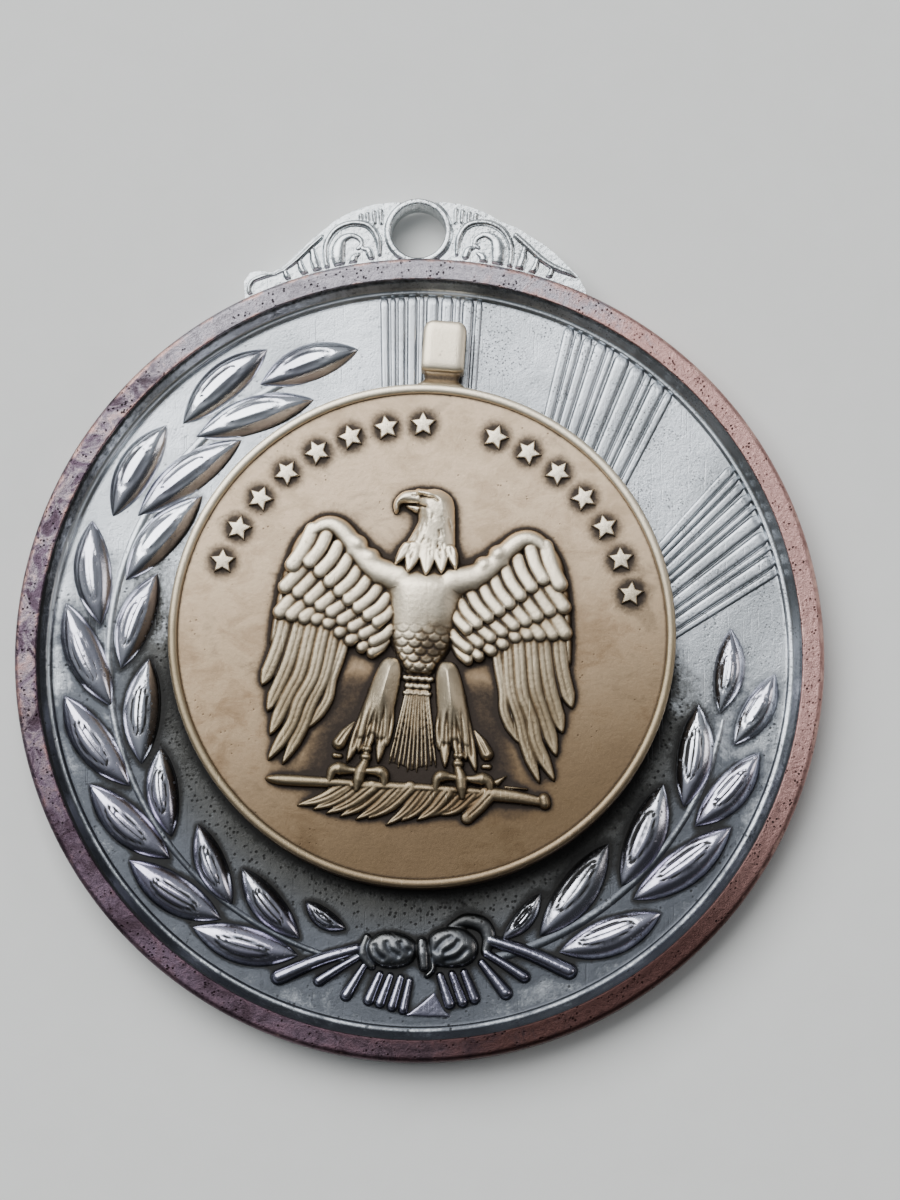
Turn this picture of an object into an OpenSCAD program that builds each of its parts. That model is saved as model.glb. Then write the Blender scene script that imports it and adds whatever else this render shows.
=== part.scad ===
// Service medal: a struck, plated stock medal with a service pendant bonded to its face.
// Origin: centre of the disc on its flat back. +Z is the face, +Y points at the suspension eye.

/* [Stock medal] */
// Diameter of the stock medal
medal_d = 50.8; // [45:0.1:60]
// Height of the rim land above the back
medal_t = 3; // [2.5:0.1:4]
// Width of the flat rim land
rim_w = 1.4; // [1:0.1:2]
// Rounding of the outer rim edges
rim_round = 0.35; // [0.1:0.05:0.6]
// Height of the sunk field above the back
field_z = 1.7; // [1.4:0.05:2.2]
// Radius of the flat field inside the stepped wall
field_r = 23.2; // [20:0.1:23.4]
// Depth of the ring-shaped hollow in the back
back_hollow = 0.25; // [0.1:0.05:0.5]
// Radius of the flat panel in the middle of the back
back_panel_r = 12; // [8:0.5:16]

/* [Suspension lug] */
// Diameter of the ribbon-ring eye
eye_d = 3.5; // [2.5:0.1:5]
// Distance from the medal centre to the eye
eye_y = 27.2; // [26:0.1:30]
// Width of the raised collar round the eye
collar_w = 0.35; // [0.25:0.05:1]
// Thickness of the lug plate
lug_t = 2.2; // [1.5:0.1:3]
// Height of the lug plate above the back plane
lug_z = 0.3; // [0:0.1:1]

/* [Wreath and rays] */
// Length of a laurel leaf
leaf_l = 6.6; // [4:0.1:9]
// Width of a laurel leaf
leaf_w = 1.95; // [1:0.05:3]
// Height of a laurel leaf over the field
leaf_h = 0.75; // [0.3:0.05:1.2]
// Leaves in the outer row on the left
left_count = 9; // [4:1:12]
// Leaves in the outer row on the right
right_count = 4; // [2:1:8]
// Ridges in each bundle of rays
ray_count = 10; // [5:1:16]
// Height of a ray over the field
ray_h = 0.22; // [0.1:0.02:0.3]

/* [Service pendant] */
// Diameter of the pendant
pendant_d = 31.75; // [25:0.05:40]
// Thickness of the pendant over its border
pendant_t = 2.3; // [1.5:0.1:3.5]
// Width of the raised border
border_w = 0.6; // [0.4:0.05:1.2]
// Drop from the border to the pendant field
pendant_sink = 0.35; // [0.1:0.05:0.8]
// Offset of the pendant to the right
pendant_x = 0.2; // [-2:0.05:2]
// Offset of the pendant towards the eye
pendant_y = 1.15; // [0:0.05:3]
// Clockwise turn at which the pendant was fixed
pendant_turn = 4.5; // [0:0.5:15]
// Thickness of the bond under the pendant
bond_t = 0.5; // [0.2:0.05:1]
// Width of the knuckle on top of the pendant
knuckle_w = 2.7; // [2:0.1:4]
// Diameter of the cross hole through the knuckle
knuckle_hole_d = 1.6; // [1:0.1:2]
// Stars to the left of the middle of the border
stars_left = 8; // [4:1:10]
// Stars to the right of the middle of the border
stars_right = 7; // [4:1:10]

/* [Hidden] */
$fn = 48;
medal_r = medal_d / 2;
land_r = medal_r - rim_w;
step_r = 23.6;
step_z = 2.15;
ledge_z = 2.05;
lug_top = lug_z + lug_t;
stem_r = 19.5;
seat_r = 14.6;
seat_z = field_z - 0.2;
pendant_z = seat_z + bond_t;
pendant_r = pendant_d / 2;
face_z = pendant_z + pendant_t - pendant_sink;
knuckle_y = 18.35;
star_r = 13.3;
shoulder = [2.4, 3.6];
wing_peak = [6.3, 6.8];
wing_arch = [shoulder, [3.9, 4.3], [5, 5.5], [6.2, 6.1], [7.3, 5.5], [8.1, 4.2]];
quill_base = [[4.8, 0], [5.4, 0.2], [6, 0.4], [6.6, 0.6], [7.2, 0.8], [7.9, 1], [8.6, 1.6]];
quill_tip = [[6.2, -5.9], [7.1, -7.3], [8, -8.6], [8.8, -8.3], [8.9, -6.9], [9.3, -5.3], [9.6, -3.6]];

silver = [0.72, 0.73, 0.74];
copper = [0.66, 0.50, 0.45];
bronze = [0.70, 0.58, 0.42];
pale_bronze = [0.80, 0.70, 0.54];
resin = [0.20, 0.17, 0.13];

function polar(r, a) = [r * cos(a), r * sin(a)];
function between(p, q, t) = p + (q - p) * t;

// A pointed, ridged blade lying on its flat side, length along X.
module blade(l, w, h) {
  a = l / 2;
  ridge_r = (a * a + h * h) / (2 * h);
  side = (a * a - w * w / 4) / w;
  ball_r = sqrt(ridge_r * ridge_r + side * side);
  intersection() {
    translate([0, side, h - ridge_r]) sphere(ball_r, $fn = 240);
    translate([0, -side, h - ridge_r]) sphere(ball_r, $fn = 240);
    translate([-a, -w, 0]) cube([l, 2 * w, 2 * h]);
  }
}

module blade_between(p, q, w, h) {
  run = q - p;
  translate([(p.x + q.x) / 2, (p.y + q.y) / 2, 0])
    rotate([0, 0, atan2(run.y, run.x)])
      blade(norm(run), w, h);
}

// A half-round bar lying on the plane z = 0, tapering from r1 to r2.
module half_bar(p, q, r1, r2) {
  run = q - p;
  len = norm(run);
  big = max(r1, r2);
  translate([p.x, p.y, 0])
    rotate([0, 0, atan2(run.y, run.x)])
      intersection() {
        rotate([0, 90, 0]) cylinder(h = len, r1 = r1, r2 = r2);
        translate([0, -big, 0]) cube([len, 2 * big, big]);
      }
}

// A half-round rib along an arc.
module arc_rib(r, w, start, sweep) {
  rotate([0, 0, start])
    rotate_extrude(angle = sweep)
      translate([r, 0])
        intersection() {
          circle(w / 2);
          translate([-w, 0]) square([2 * w, w]);
        }
}

// A flat outline raised to height h and crowned by a large ball.
module crowned(h, crown_r, at) {
  intersection() {
    linear_extrude(height = h) children();
    translate([at.x, at.y, h - crown_r]) sphere(crown_r);
  }
}

module medal_disc() {
  color(silver)
    rotate_extrude()
      polygon([[0, 0], [back_panel_r, 0], [back_panel_r + 0.3, back_hollow],
        [step_r - 0.6, back_hollow], [step_r - 0.3, 0], [land_r, 0], [land_r, medal_t - 0.1],
        [step_r, step_z], [field_r + 0.15, ledge_z], [field_r, field_z], [seat_r + 0.1, field_z],
        [seat_r + 0.1, seat_z], [0, seat_z]]);
}

module medal_rim() {
  color(copper)
    rotate_extrude() {
      translate([land_r, rim_round]) square([rim_w, medal_t - 2 * rim_round]);
      translate([land_r, 0]) square([rim_w - rim_round, medal_t]);
      translate([medal_r - rim_round, rim_round]) circle(rim_round);
      translate([medal_r - rim_round, medal_t - rim_round]) circle(rim_round);
    }
}

// The right side runs out in a straight slope, the left side ends in a small raised curl.
module lug_outline() {
  polygon([[0, 20], [10.8, 22.3], [10.6, 23.4], [10.1, 24.3], [9.4, 25], [8.7, 25.7], [8, 26.3],
    [7.2, 26.8], [6.3, 27.4], [5.3, 27.8], [4.3, 28.4], [3.4, 28.75], [2.6, 28.98], [1.7, 29.1],
    [-1.7, 29.1], [-2.7, 29], [-3.5, 28.8], [-4.3, 28.5], [-5.3, 27.95], [-6.2, 27.2], [-7, 26.5],
    [-7.9, 25.6], [-8.7, 24.9], [-9.3, 24.6], [-10.1, 24.7], [-10.7, 24.6], [-11.1, 24], [-11, 22.3]]);
}

module suspension_lug() {
  collar_r = eye_d / 2 + collar_w;
  color(silver)
    difference() {
      union() {
        translate([0, 0, lug_z])
          linear_extrude(height = lug_t)
            difference() {
              union() {
                lug_outline();
                translate([0, eye_y]) circle(collar_r);
              }
              circle(medal_r);
            }
        translate([0, eye_y, lug_z]) cylinder(h = lug_t + 0.25, r = collar_r);
      }
      translate([0, eye_y, -1]) cylinder(h = 6, r = eye_d / 2);
    }
}

// Two nested arches, an inner curl, an end volute and the flutes beside the collar.
module lug_scrolls() {
  translate([0, 0, lug_top]) {
    translate([4.9, 25.5, 0]) arc_rib(1.55, 0.42, 20, 165);
    translate([4.6, 26.2, 0]) arc_rib(0.55, 0.36, -60, 260);
    translate([7, 24.6, 0]) arc_rib(1.1, 0.4, 15, 150);
    translate([9.6, 23.9, 0]) arc_rib(0.5, 0.36, -100, 280);
    for (i = [0:2])
      half_bar([2.5 + 0.35 * i, 27.2 - 0.55 * i], [3.5 + 0.3 * i, 28 - 0.75 * i], 0.16, 0.1);
  }
}

module lug_scrolls_right() {
  color(silver) lug_scrolls();
}

module lug_scrolls_left() {
  color(silver) mirror([1, 0, 0]) lug_scrolls();
}

module stem(start, sweep) {
  color(silver) translate([0, 0, field_z]) arc_rib(stem_r, 0.55, start, sweep);
}

module laurel_stem_left() {
  stem(108, 148);
}

module laurel_stem_right() {
  stem(-76, 62);
}

// A row of leaves: each points from its base on the stem to a tip further round the wreath.
module leaf_row(count, tip_r, base_r, start, pitch, sweep) {
  color(silver)
    translate([0, 0, field_z])
      for (i = [0:count - 1])
        blade_between(polar(base_r, start + pitch * i + sweep), polar(tip_r, start + pitch * i),
          leaf_w, leaf_h);
}

module laurel_leaves_left_outer() {
  leaf_row(left_count, 22.1, 20.4, 101, 16.2, 18.2);
}

module laurel_leaves_left_inner() {
  leaf_row(left_count, 17.4, 18.9, 113, 16, 19.5);
}

module laurel_leaves_right_outer() {
  leaf_row(right_count, 22.1, 20.3, -3, -14.6, -17.6);
}

module laurel_leaves_right_inner() {
  leaf_row(right_count, 17.6, 19.1, -10, -17.4, -20.4);
  color(silver)
    translate([0, 0, field_z])
      blade_between(polar(19.1, -11), polar(19.8, 5.2), 1.8, leaf_h);
}

// A fan of ridges between an inner and an outer edge.
module ray_fan(inner_a, inner_b, outer_a, outer_b) {
  color(silver)
    translate([0, 0, field_z])
      for (i = [0:ray_count - 1]) {
        t = (i + 0.5) / ray_count;
        half_bar(between(inner_a, inner_b, t), between(outer_a, outer_b, t), ray_h, ray_h);
      }
}

module ray_bundle_top() {
  ray_fan([-2.4, 15.6], [3.6, 15.6], [-2.5, 22.8], [4.1, 22.6]);
}

module ray_bundle_upper_right() {
  ray_fan([7.6, 14.2], [12.6, 9.8], [9.2, 21], [16, 16.4]);
}

module ray_bundle_right() {
  ray_fan([14.4, 6.4], [15.6, 0.7], [19.5, 12.1], [22.4, 5]);
}

module bow_knot() {
  color(silver)
    translate([0, 0, field_z]) {
      translate([0.35, -18.6, 0])
        intersection() {
          translate([0, 0, -0.3]) sphere(1.1);
          translate([-2, -2, 0]) cube([4, 4, 2]);
        }
      translate([-1.6, -18.5, 0]) arc_rib(1.05, 0.7, 0, 360);
      translate([2.3, -18.4, 0]) arc_rib(1.05, 0.7, 0, 360);
    }
}

module bow_tails() {
  color(silver)
    translate([0, 0, field_z])
      for (side = [-1, 1])
        translate([0.35, 0, 0]) {
          half_bar([3.4 * side, -18.2], [9.3 * side, -20.2], 0.35, 0.6);
          half_bar([3.3 * side, -18.9], [6.1 * side, -20.9], 0.22, 0.4);
          half_bar([2.9 * side, -19.4], [4.9 * side, -21.6], 0.22, 0.4);
          for (i = [0:3])
            half_bar([(1 + 0.45 * i) * side, -20], [(1.2 + 0.6 * i) * side, -22.1], 0.16, 0.26);
        }
}

module on_pendant(z) {
  translate([pendant_x, pendant_y, z]) rotate([0, 0, -pendant_turn]) children();
}

module bond_layer() {
  color(resin) on_pendant(seat_z) cylinder(h = bond_t, r = seat_r - pendant_y - 0.2);
}

module pendant_disc() {
  round_r = 0.3;
  color(bronze)
    on_pendant(pendant_z)
      rotate_extrude() {
        square([pendant_r - round_r, pendant_t - pendant_sink]);
        translate([pendant_r - round_r, round_r])
          square([round_r, pendant_t - pendant_sink - round_r]);
        translate([pendant_r - round_r, round_r]) circle(round_r);
      }
}

module pendant_rim() {
  color(pale_bronze)
    on_pendant(face_z)
      rotate_extrude()
        translate([pendant_r - border_w / 2, 0])
          intersection() {
            translate([-border_w / 2, 0]) square([border_w, pendant_sink]);
            translate([0, pendant_sink - 0.45]) circle(0.45);
          }
}

module pendant_knuckle() {
  corner = 0.55;
  half = knuckle_w / 2;
  color(pale_bronze)
    on_pendant(pendant_z + 0.15)
      difference() {
        union() {
          translate([-half, knuckle_y - 1.65, 0]) cube([knuckle_w, 3.3 - corner, 2.2]);
          translate([-half + corner, knuckle_y - 1.65, 0]) cube([knuckle_w - 2 * corner, 3.3, 2.2]);
          for (side = [-1, 1])
            translate([side * (half - corner), knuckle_y + 1.65 - corner, 0])
              cylinder(h = 2.2, r = corner);
          translate([-1.2, pendant_r - 0.2, 0]) cube([2.4, knuckle_y - pendant_r, 1.7]);
        }
        translate([0, knuckle_y + 0.35, 1.1])
          rotate([0, 90, 0])
            cylinder(h = knuckle_w + 1, r = knuckle_hole_d / 2, center = true);
        cylinder(h = 6, r = pendant_r, center = true);
      }
}

module star(r) {
  polygon([for (i = [0:9]) polar(i % 2 == 0 ? r : 0.45 * r, 90 + 36 * i)]);
}

module star_border() {
  color(pale_bronze)
    on_pendant(face_z)
      linear_extrude(height = 0.3) {
        for (i = [0:stars_left - 1])
          rotate([0, 0, 4 + 10 * i]) translate([0, star_r]) star(0.85);
        for (i = [0:stars_right - 1])
          rotate([0, 0, -16 - 9.8 * i]) translate([0, star_r]) star(0.85);
      }
}

module eagle_head() {
  color(pale_bronze)
    on_pendant(face_z) {
      crowned(1, 3.4, [0.2, 6.8])
        polygon([[0.3, 9.1], [-0.5, 9], [-1.2, 8.7], [-1.9, 8.5], [-2.15, 8], [-2, 7.6],
          [-1.6, 7.9], [-0.9, 7.8], [-0.7, 7.2], [-1, 6.2], [-1.6, 5.1], [-1.9, 4.3], [-1.1, 4.5],
          [-0.6, 3.9], [-0.1, 4.4], [0.3, 3.7], [0.8, 4.4], [1.3, 3.9], [1.9, 4.3], [1.75, 5.6],
          [1.6, 7.4], [1.4, 8.4], [0.9, 8.9]]);
      translate([-0.1, 8.35, 0.6]) cylinder(h = 0.35, r = 0.16);
    }
}

module eagle_body() {
  color(pale_bronze)
    on_pendant(face_z) {
      crowned(1.05, 6.5, [0, 2.2])
        polygon([[-3.3, 4], [-2, 4.3], [0, 4.1], [2, 4.3], [3.3, 4], [2.8, 2.6], [2.3, 1],
          [2, -0.6], [1.7, -1.6], [-1.7, -1.6], [-2, -0.6], [-2.3, 1], [-2.8, 2.6]]);
      for (row = [0:2])
        for (i = [-1:1])
          translate([0.5 * i + (row % 2) * 0.2, -2 - 0.65 * row, 0]) blade(0.9, 0.5, 0.45);
    }
}

// A row of overlapping scallop feathers between two points.
module scallops(p, q, count, r) {
  for (i = [0:count - 1])
    translate(between(p, q, i / (count - 1))) circle(r);
}

// A long flight feather between two points, drawn flat.
module quill(p, q, w) {
  run = q - p;
  translate(p)
    rotate(atan2(run.y, run.x))
      polygon([[0, -w / 2], [norm(run) - w, -w / 2], [norm(run), 0], [norm(run) - w, w / 2],
        [0, w / 2]]);
}

// A bent bar of constant width through a list of points, drawn flat.
module bent_bar(path, w) {
  for (i = [0:len(path) - 2]) {
    run = path[i + 1] - path[i];
    translate(path[i]) circle(w / 2 + 0.06);
    translate(path[i])
      rotate(atan2(run.y, run.x))
        translate([0, -w / 2]) square([norm(run), w]);
  }
}

module wing() {
  linear_extrude(height = 0.3)
    polygon([shoulder, [3.4, 4.1], [4.6, 5.4], [5.4, 6.5], wing_peak, [7, 6.4], [8, 5.3],
      [8.7, 3.6], [9.1, 1.6], [9.2, -1], [8.2, -5], [7, -5.2], [5.6, -4.4], [4.9, -2.8],
      [4.5, -0.6], [3.2, -1.1], [2.4, -0.9], [2.1, 0.6], [2.3, 2]]);
  linear_extrude(height = 0.5)
    for (i = [0:len(quill_base) - 1])
      quill(quill_base[i], quill_tip[i], 0.62);
  linear_extrude(height = 0.65) {
    scallops([2.6, -0.6], [8.2, 1.4], 8, 0.45);
    polygon([[2.2, -0.6], [8.2, 1.4], [8.5, 3.4], [2.4, 1.4]]);
  }
  linear_extrude(height = 0.8) {
    scallops([2.9, 1], [7.6, 4], 7, 0.45);
    polygon([[2.6, 1.2], [7.6, 4], [7.2, 5.8], [2.6, 3]]);
  }
  linear_extrude(height = 1) bent_bar(wing_arch, 1.5);
}

module eagle_wing_right() {
  color(pale_bronze) on_pendant(face_z) wing();
}

module eagle_wing_left() {
  color(pale_bronze) on_pendant(face_z) mirror([1, 0, 0]) wing();
}

module eagle_tail() {
  color(pale_bronze)
    on_pendant(face_z)
      for (i = [-3:3])
        half_bar([0.15 + 0.12 * i, -3.6], [0.2 + 0.42 * i, -8.4 + 0.08 * abs(i)], 0.2, 0.34);
}

module leg() {
  blade_between([1.6, -1.5], [3.2, -8.2], 2.2, 0.95);
  blade_between([3.1, -5.4], [5, -7.3], 0.9, 0.6);
  translate([0, 0, 0.1])
    for (i = [-1:1])
      half_bar([3.3 + 0.5 * i, -8.3], [3.3 + 0.95 * i, -9.4], 0.28, 0.2);
}

module eagle_leg_right() {
  color(pale_bronze) on_pendant(face_z) leg();
}

module eagle_leg_left() {
  color(pale_bronze) on_pendant(face_z) mirror([1, 0, 0]) leg();
}

module sword() {
  color(pale_bronze)
    on_pendant(face_z) {
      half_bar([-8.8, -9.7], [-7.6, -9.68], 0.05, 0.34);
      half_bar([-7.6, -9.68], [5, -9.6], 0.34, 0.38);
      half_bar([5, -9.6], [8.4, -9.8], 0.3, 0.3);
      half_bar([4.7, -10.2], [5.5, -9], 0.22, 0.22);
      translate([8.5, -9.8, 0])
        intersection() {
          sphere(0.5);
          translate([-1, -1, 0]) cube([2, 2, 1]);
        }
    }
}

module palm_branch() {
  color(pale_bronze)
    on_pendant(face_z) {
      for (i = [0:8])
        blade_between([-3.8 + 0.95 * i, -9.9 - 0.05 * i], [-6.6 + 0.95 * i, -10.9 - 0.12 * min(i, 8 - i)],
          0.72, 0.42);
      blade_between([5.2, -9.8], [3.6, -11.3], 0.8, 0.42);
    }
}

medal_disc();
medal_rim();
suspension_lug();
lug_scrolls_left();
lug_scrolls_right();
laurel_stem_left();
laurel_stem_right();
laurel_leaves_left_outer();
laurel_leaves_left_inner();
laurel_leaves_right_outer();
laurel_leaves_right_inner();
ray_bundle_top();
ray_bundle_upper_right();
ray_bundle_right();
bow_knot();
bow_tails();
bond_layer();
pendant_disc();
pendant_rim();
pendant_knuckle();
star_border();
eagle_head();
eagle_body();
eagle_wing_left();
eagle_wing_right();
eagle_tail();
eagle_leg_left();
eagle_leg_right();
sword();
palm_branch();
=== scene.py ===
"""Service medal lying face up: a plated stock medal with a bronze service pendant bonded to it."""
import math

import bpy
import numpy as np
from mathutils import Matrix, Vector


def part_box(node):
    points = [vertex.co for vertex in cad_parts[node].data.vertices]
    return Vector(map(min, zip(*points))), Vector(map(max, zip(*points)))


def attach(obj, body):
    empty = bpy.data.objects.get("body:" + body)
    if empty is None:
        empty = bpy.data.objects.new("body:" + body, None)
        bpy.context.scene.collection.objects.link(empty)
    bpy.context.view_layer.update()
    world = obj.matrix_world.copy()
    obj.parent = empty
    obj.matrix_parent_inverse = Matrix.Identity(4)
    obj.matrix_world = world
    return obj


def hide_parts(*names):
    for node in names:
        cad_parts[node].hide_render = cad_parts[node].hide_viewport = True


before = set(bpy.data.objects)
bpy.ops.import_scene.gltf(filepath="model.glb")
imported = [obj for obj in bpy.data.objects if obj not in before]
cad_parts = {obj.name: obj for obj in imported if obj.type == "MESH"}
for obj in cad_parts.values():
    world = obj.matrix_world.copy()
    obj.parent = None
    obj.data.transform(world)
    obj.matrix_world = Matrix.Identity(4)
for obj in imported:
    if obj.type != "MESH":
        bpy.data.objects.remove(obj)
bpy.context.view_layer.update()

MM = 0.001
SEED = 11


# ---------------------------------------------------------------- curves and fields

def polar(r, degrees):
    a = math.radians(degrees)
    return np.array([r * math.cos(a), r * math.sin(a)])


def smooth(points, per=8, closed=False):
    """A Catmull-Rom curve through the points."""
    p = np.asarray(points, float)
    if closed:
        p = np.vstack([p[-1], p, p[0], p[1]])
    else:
        p = np.vstack([2 * p[0] - p[1], p, 2 * p[-1] - p[-2]])
    t = np.linspace(0, 1, per, endpoint=False)[:, None]
    out = []
    for a, b, c, d in zip(p[:-3], p[1:-2], p[2:-1], p[3:]):
        out.append(0.5 * (2 * b + (c - a) * t + (2 * a - 5 * b + 4 * c - d) * t ** 2
                          + (3 * b - a - 3 * c + d) * t ** 3))
    out = np.vstack(out)
    return out if closed else np.vstack([out, p[-2]])


def along(x, y, path):
    """Distance from a path, the same with a sign (left is positive), and the share of length."""
    seg = np.diff(path, axis=0)
    length = np.hypot(seg[:, 0], seg[:, 1])
    total = length.sum()
    near = np.full(x.shape, 1e9)
    signed = np.zeros(x.shape)
    share = np.zeros(x.shape)
    start = 0.0
    for (px, py), (sx, sy), l in zip(path[:-1], seg, length):
        dx, dy = x - px, y - py
        t = np.clip((dx * sx + dy * sy) / (l * l), 0, 1)
        d = np.hypot(dx - t * sx, dy - t * sy)
        closer = d < near
        near = np.where(closer, d, near)
        signed = np.where(closer, np.where(sx * dy - sy * dx >= 0, d, -d), signed)
        share = np.where(closer, (start + t * l) / total, share)
        start += l
    return near, signed, np.minimum(share, 1.0)


def inside_distance(x, y, loop):
    """Distance to a closed outline, positive inside."""
    ring = np.vstack([loop, loop[:1]])
    near, _, _ = along(x, y, ring)
    within = np.zeros(x.shape, bool)
    for (ax, ay), (bx, by) in zip(ring[:-1], ring[1:]):
        if ay == by:
            continue
        crosses = (ay > y) != (by > y)
        within ^= crosses & (x < (bx - ax) * (y - ay) / (by - ay) + ax)
    return np.where(within, near, -near)


def dome(q, power=2.0):
    return np.sqrt(np.clip(1 - np.abs(q) ** power, 0, 1))


def ease(t):
    t = np.clip(t, 0, 1)
    return t * t * (3 - 2 * t)


def bell(x, width):
    return np.exp(-(x / width) ** 2)


def mirror(side):
    """A function that flips points to the left when side is -1."""
    return lambda points: [(side * x, y) for x, y in points]


def blur(field, sigma):
    """Gaussian blur; sigma is in cells."""
    pad = int(3 * sigma) + 1
    f = np.pad(field, pad, mode="edge")
    kx = np.fft.fftfreq(f.shape[0])[:, None]
    ky = np.fft.rfftfreq(f.shape[1])[None, :]
    gain = np.exp(-2 * (math.pi * sigma) ** 2 * (kx ** 2 + ky ** 2))
    f = np.fft.irfft2(np.fft.rfft2(f) * gain, s=f.shape)
    return f[pad:-pad, pad:-pad]


def value_noise(x, y, cell, seed):
    """Smooth noise between -1 and 1 with a feature size of one cell."""
    table = np.random.default_rng(seed).uniform(-1, 1, (64, 64))
    u, v = x / cell, y / cell
    iu, iv = np.floor(u).astype(int), np.floor(v).astype(int)
    fu, fv = ease(u - iu), ease(v - iv)
    pick = lambda a, b: table[a % 64, b % 64]
    low = pick(iu, iv) * (1 - fu) + pick(iu + 1, iv) * fu
    high = pick(iu, iv + 1) * (1 - fu) + pick(iu + 1, iv + 1) * fu
    return low * (1 - fv) + high * fv


# ---------------------------------------------------------------- meshes

def band(lower, upper):
    """Quads between two rings of vertex numbers; a single number closes the ring to a point."""
    upper = np.broadcast_to(upper, lower.shape)
    return np.stack([lower, np.roll(lower, -1), np.roll(upper, -1), upper], 1)


def patina(hollow, crest, level):
    """The fields that tell a material where its metal lies low, stands out and how high it is."""
    return {"hollow": hollow, "crest": crest, "level": level}


def make_object(name, verts, faces, node_names, material, attributes, sharp):
    """A piece made of quads; one whose last two corners are the same is a triangle."""
    mesh = bpy.data.meshes.new(name)
    corners = [f[:3] if f[2] == f[3] else f for f in faces.tolist()]
    mesh.from_pydata((verts * MM).tolist(), [], corners)
    mesh.update()
    for key, values in attributes.items():
        layer = mesh.attributes.new(key, "FLOAT", "POINT")
        layer.data.foreach_set("value", np.asarray(values, np.float32))
    mesh.polygons.foreach_set("use_smooth", np.ones(len(mesh.polygons), bool))
    mesh.set_sharp_from_angle(angle=math.radians(sharp))
    mesh.materials.append(material)
    obj = bpy.data.objects.new(name, mesh)
    bpy.context.scene.collection.objects.link(obj)
    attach(obj, "root")
    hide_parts(*node_names)


# How far, in mm, each kind of patina field looks round a point of a relief.
FINE_REACH = 0.10
BROAD_REACH = 0.38
HALO_REACH = 0.22
WIDE_REACH = 0.8


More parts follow.
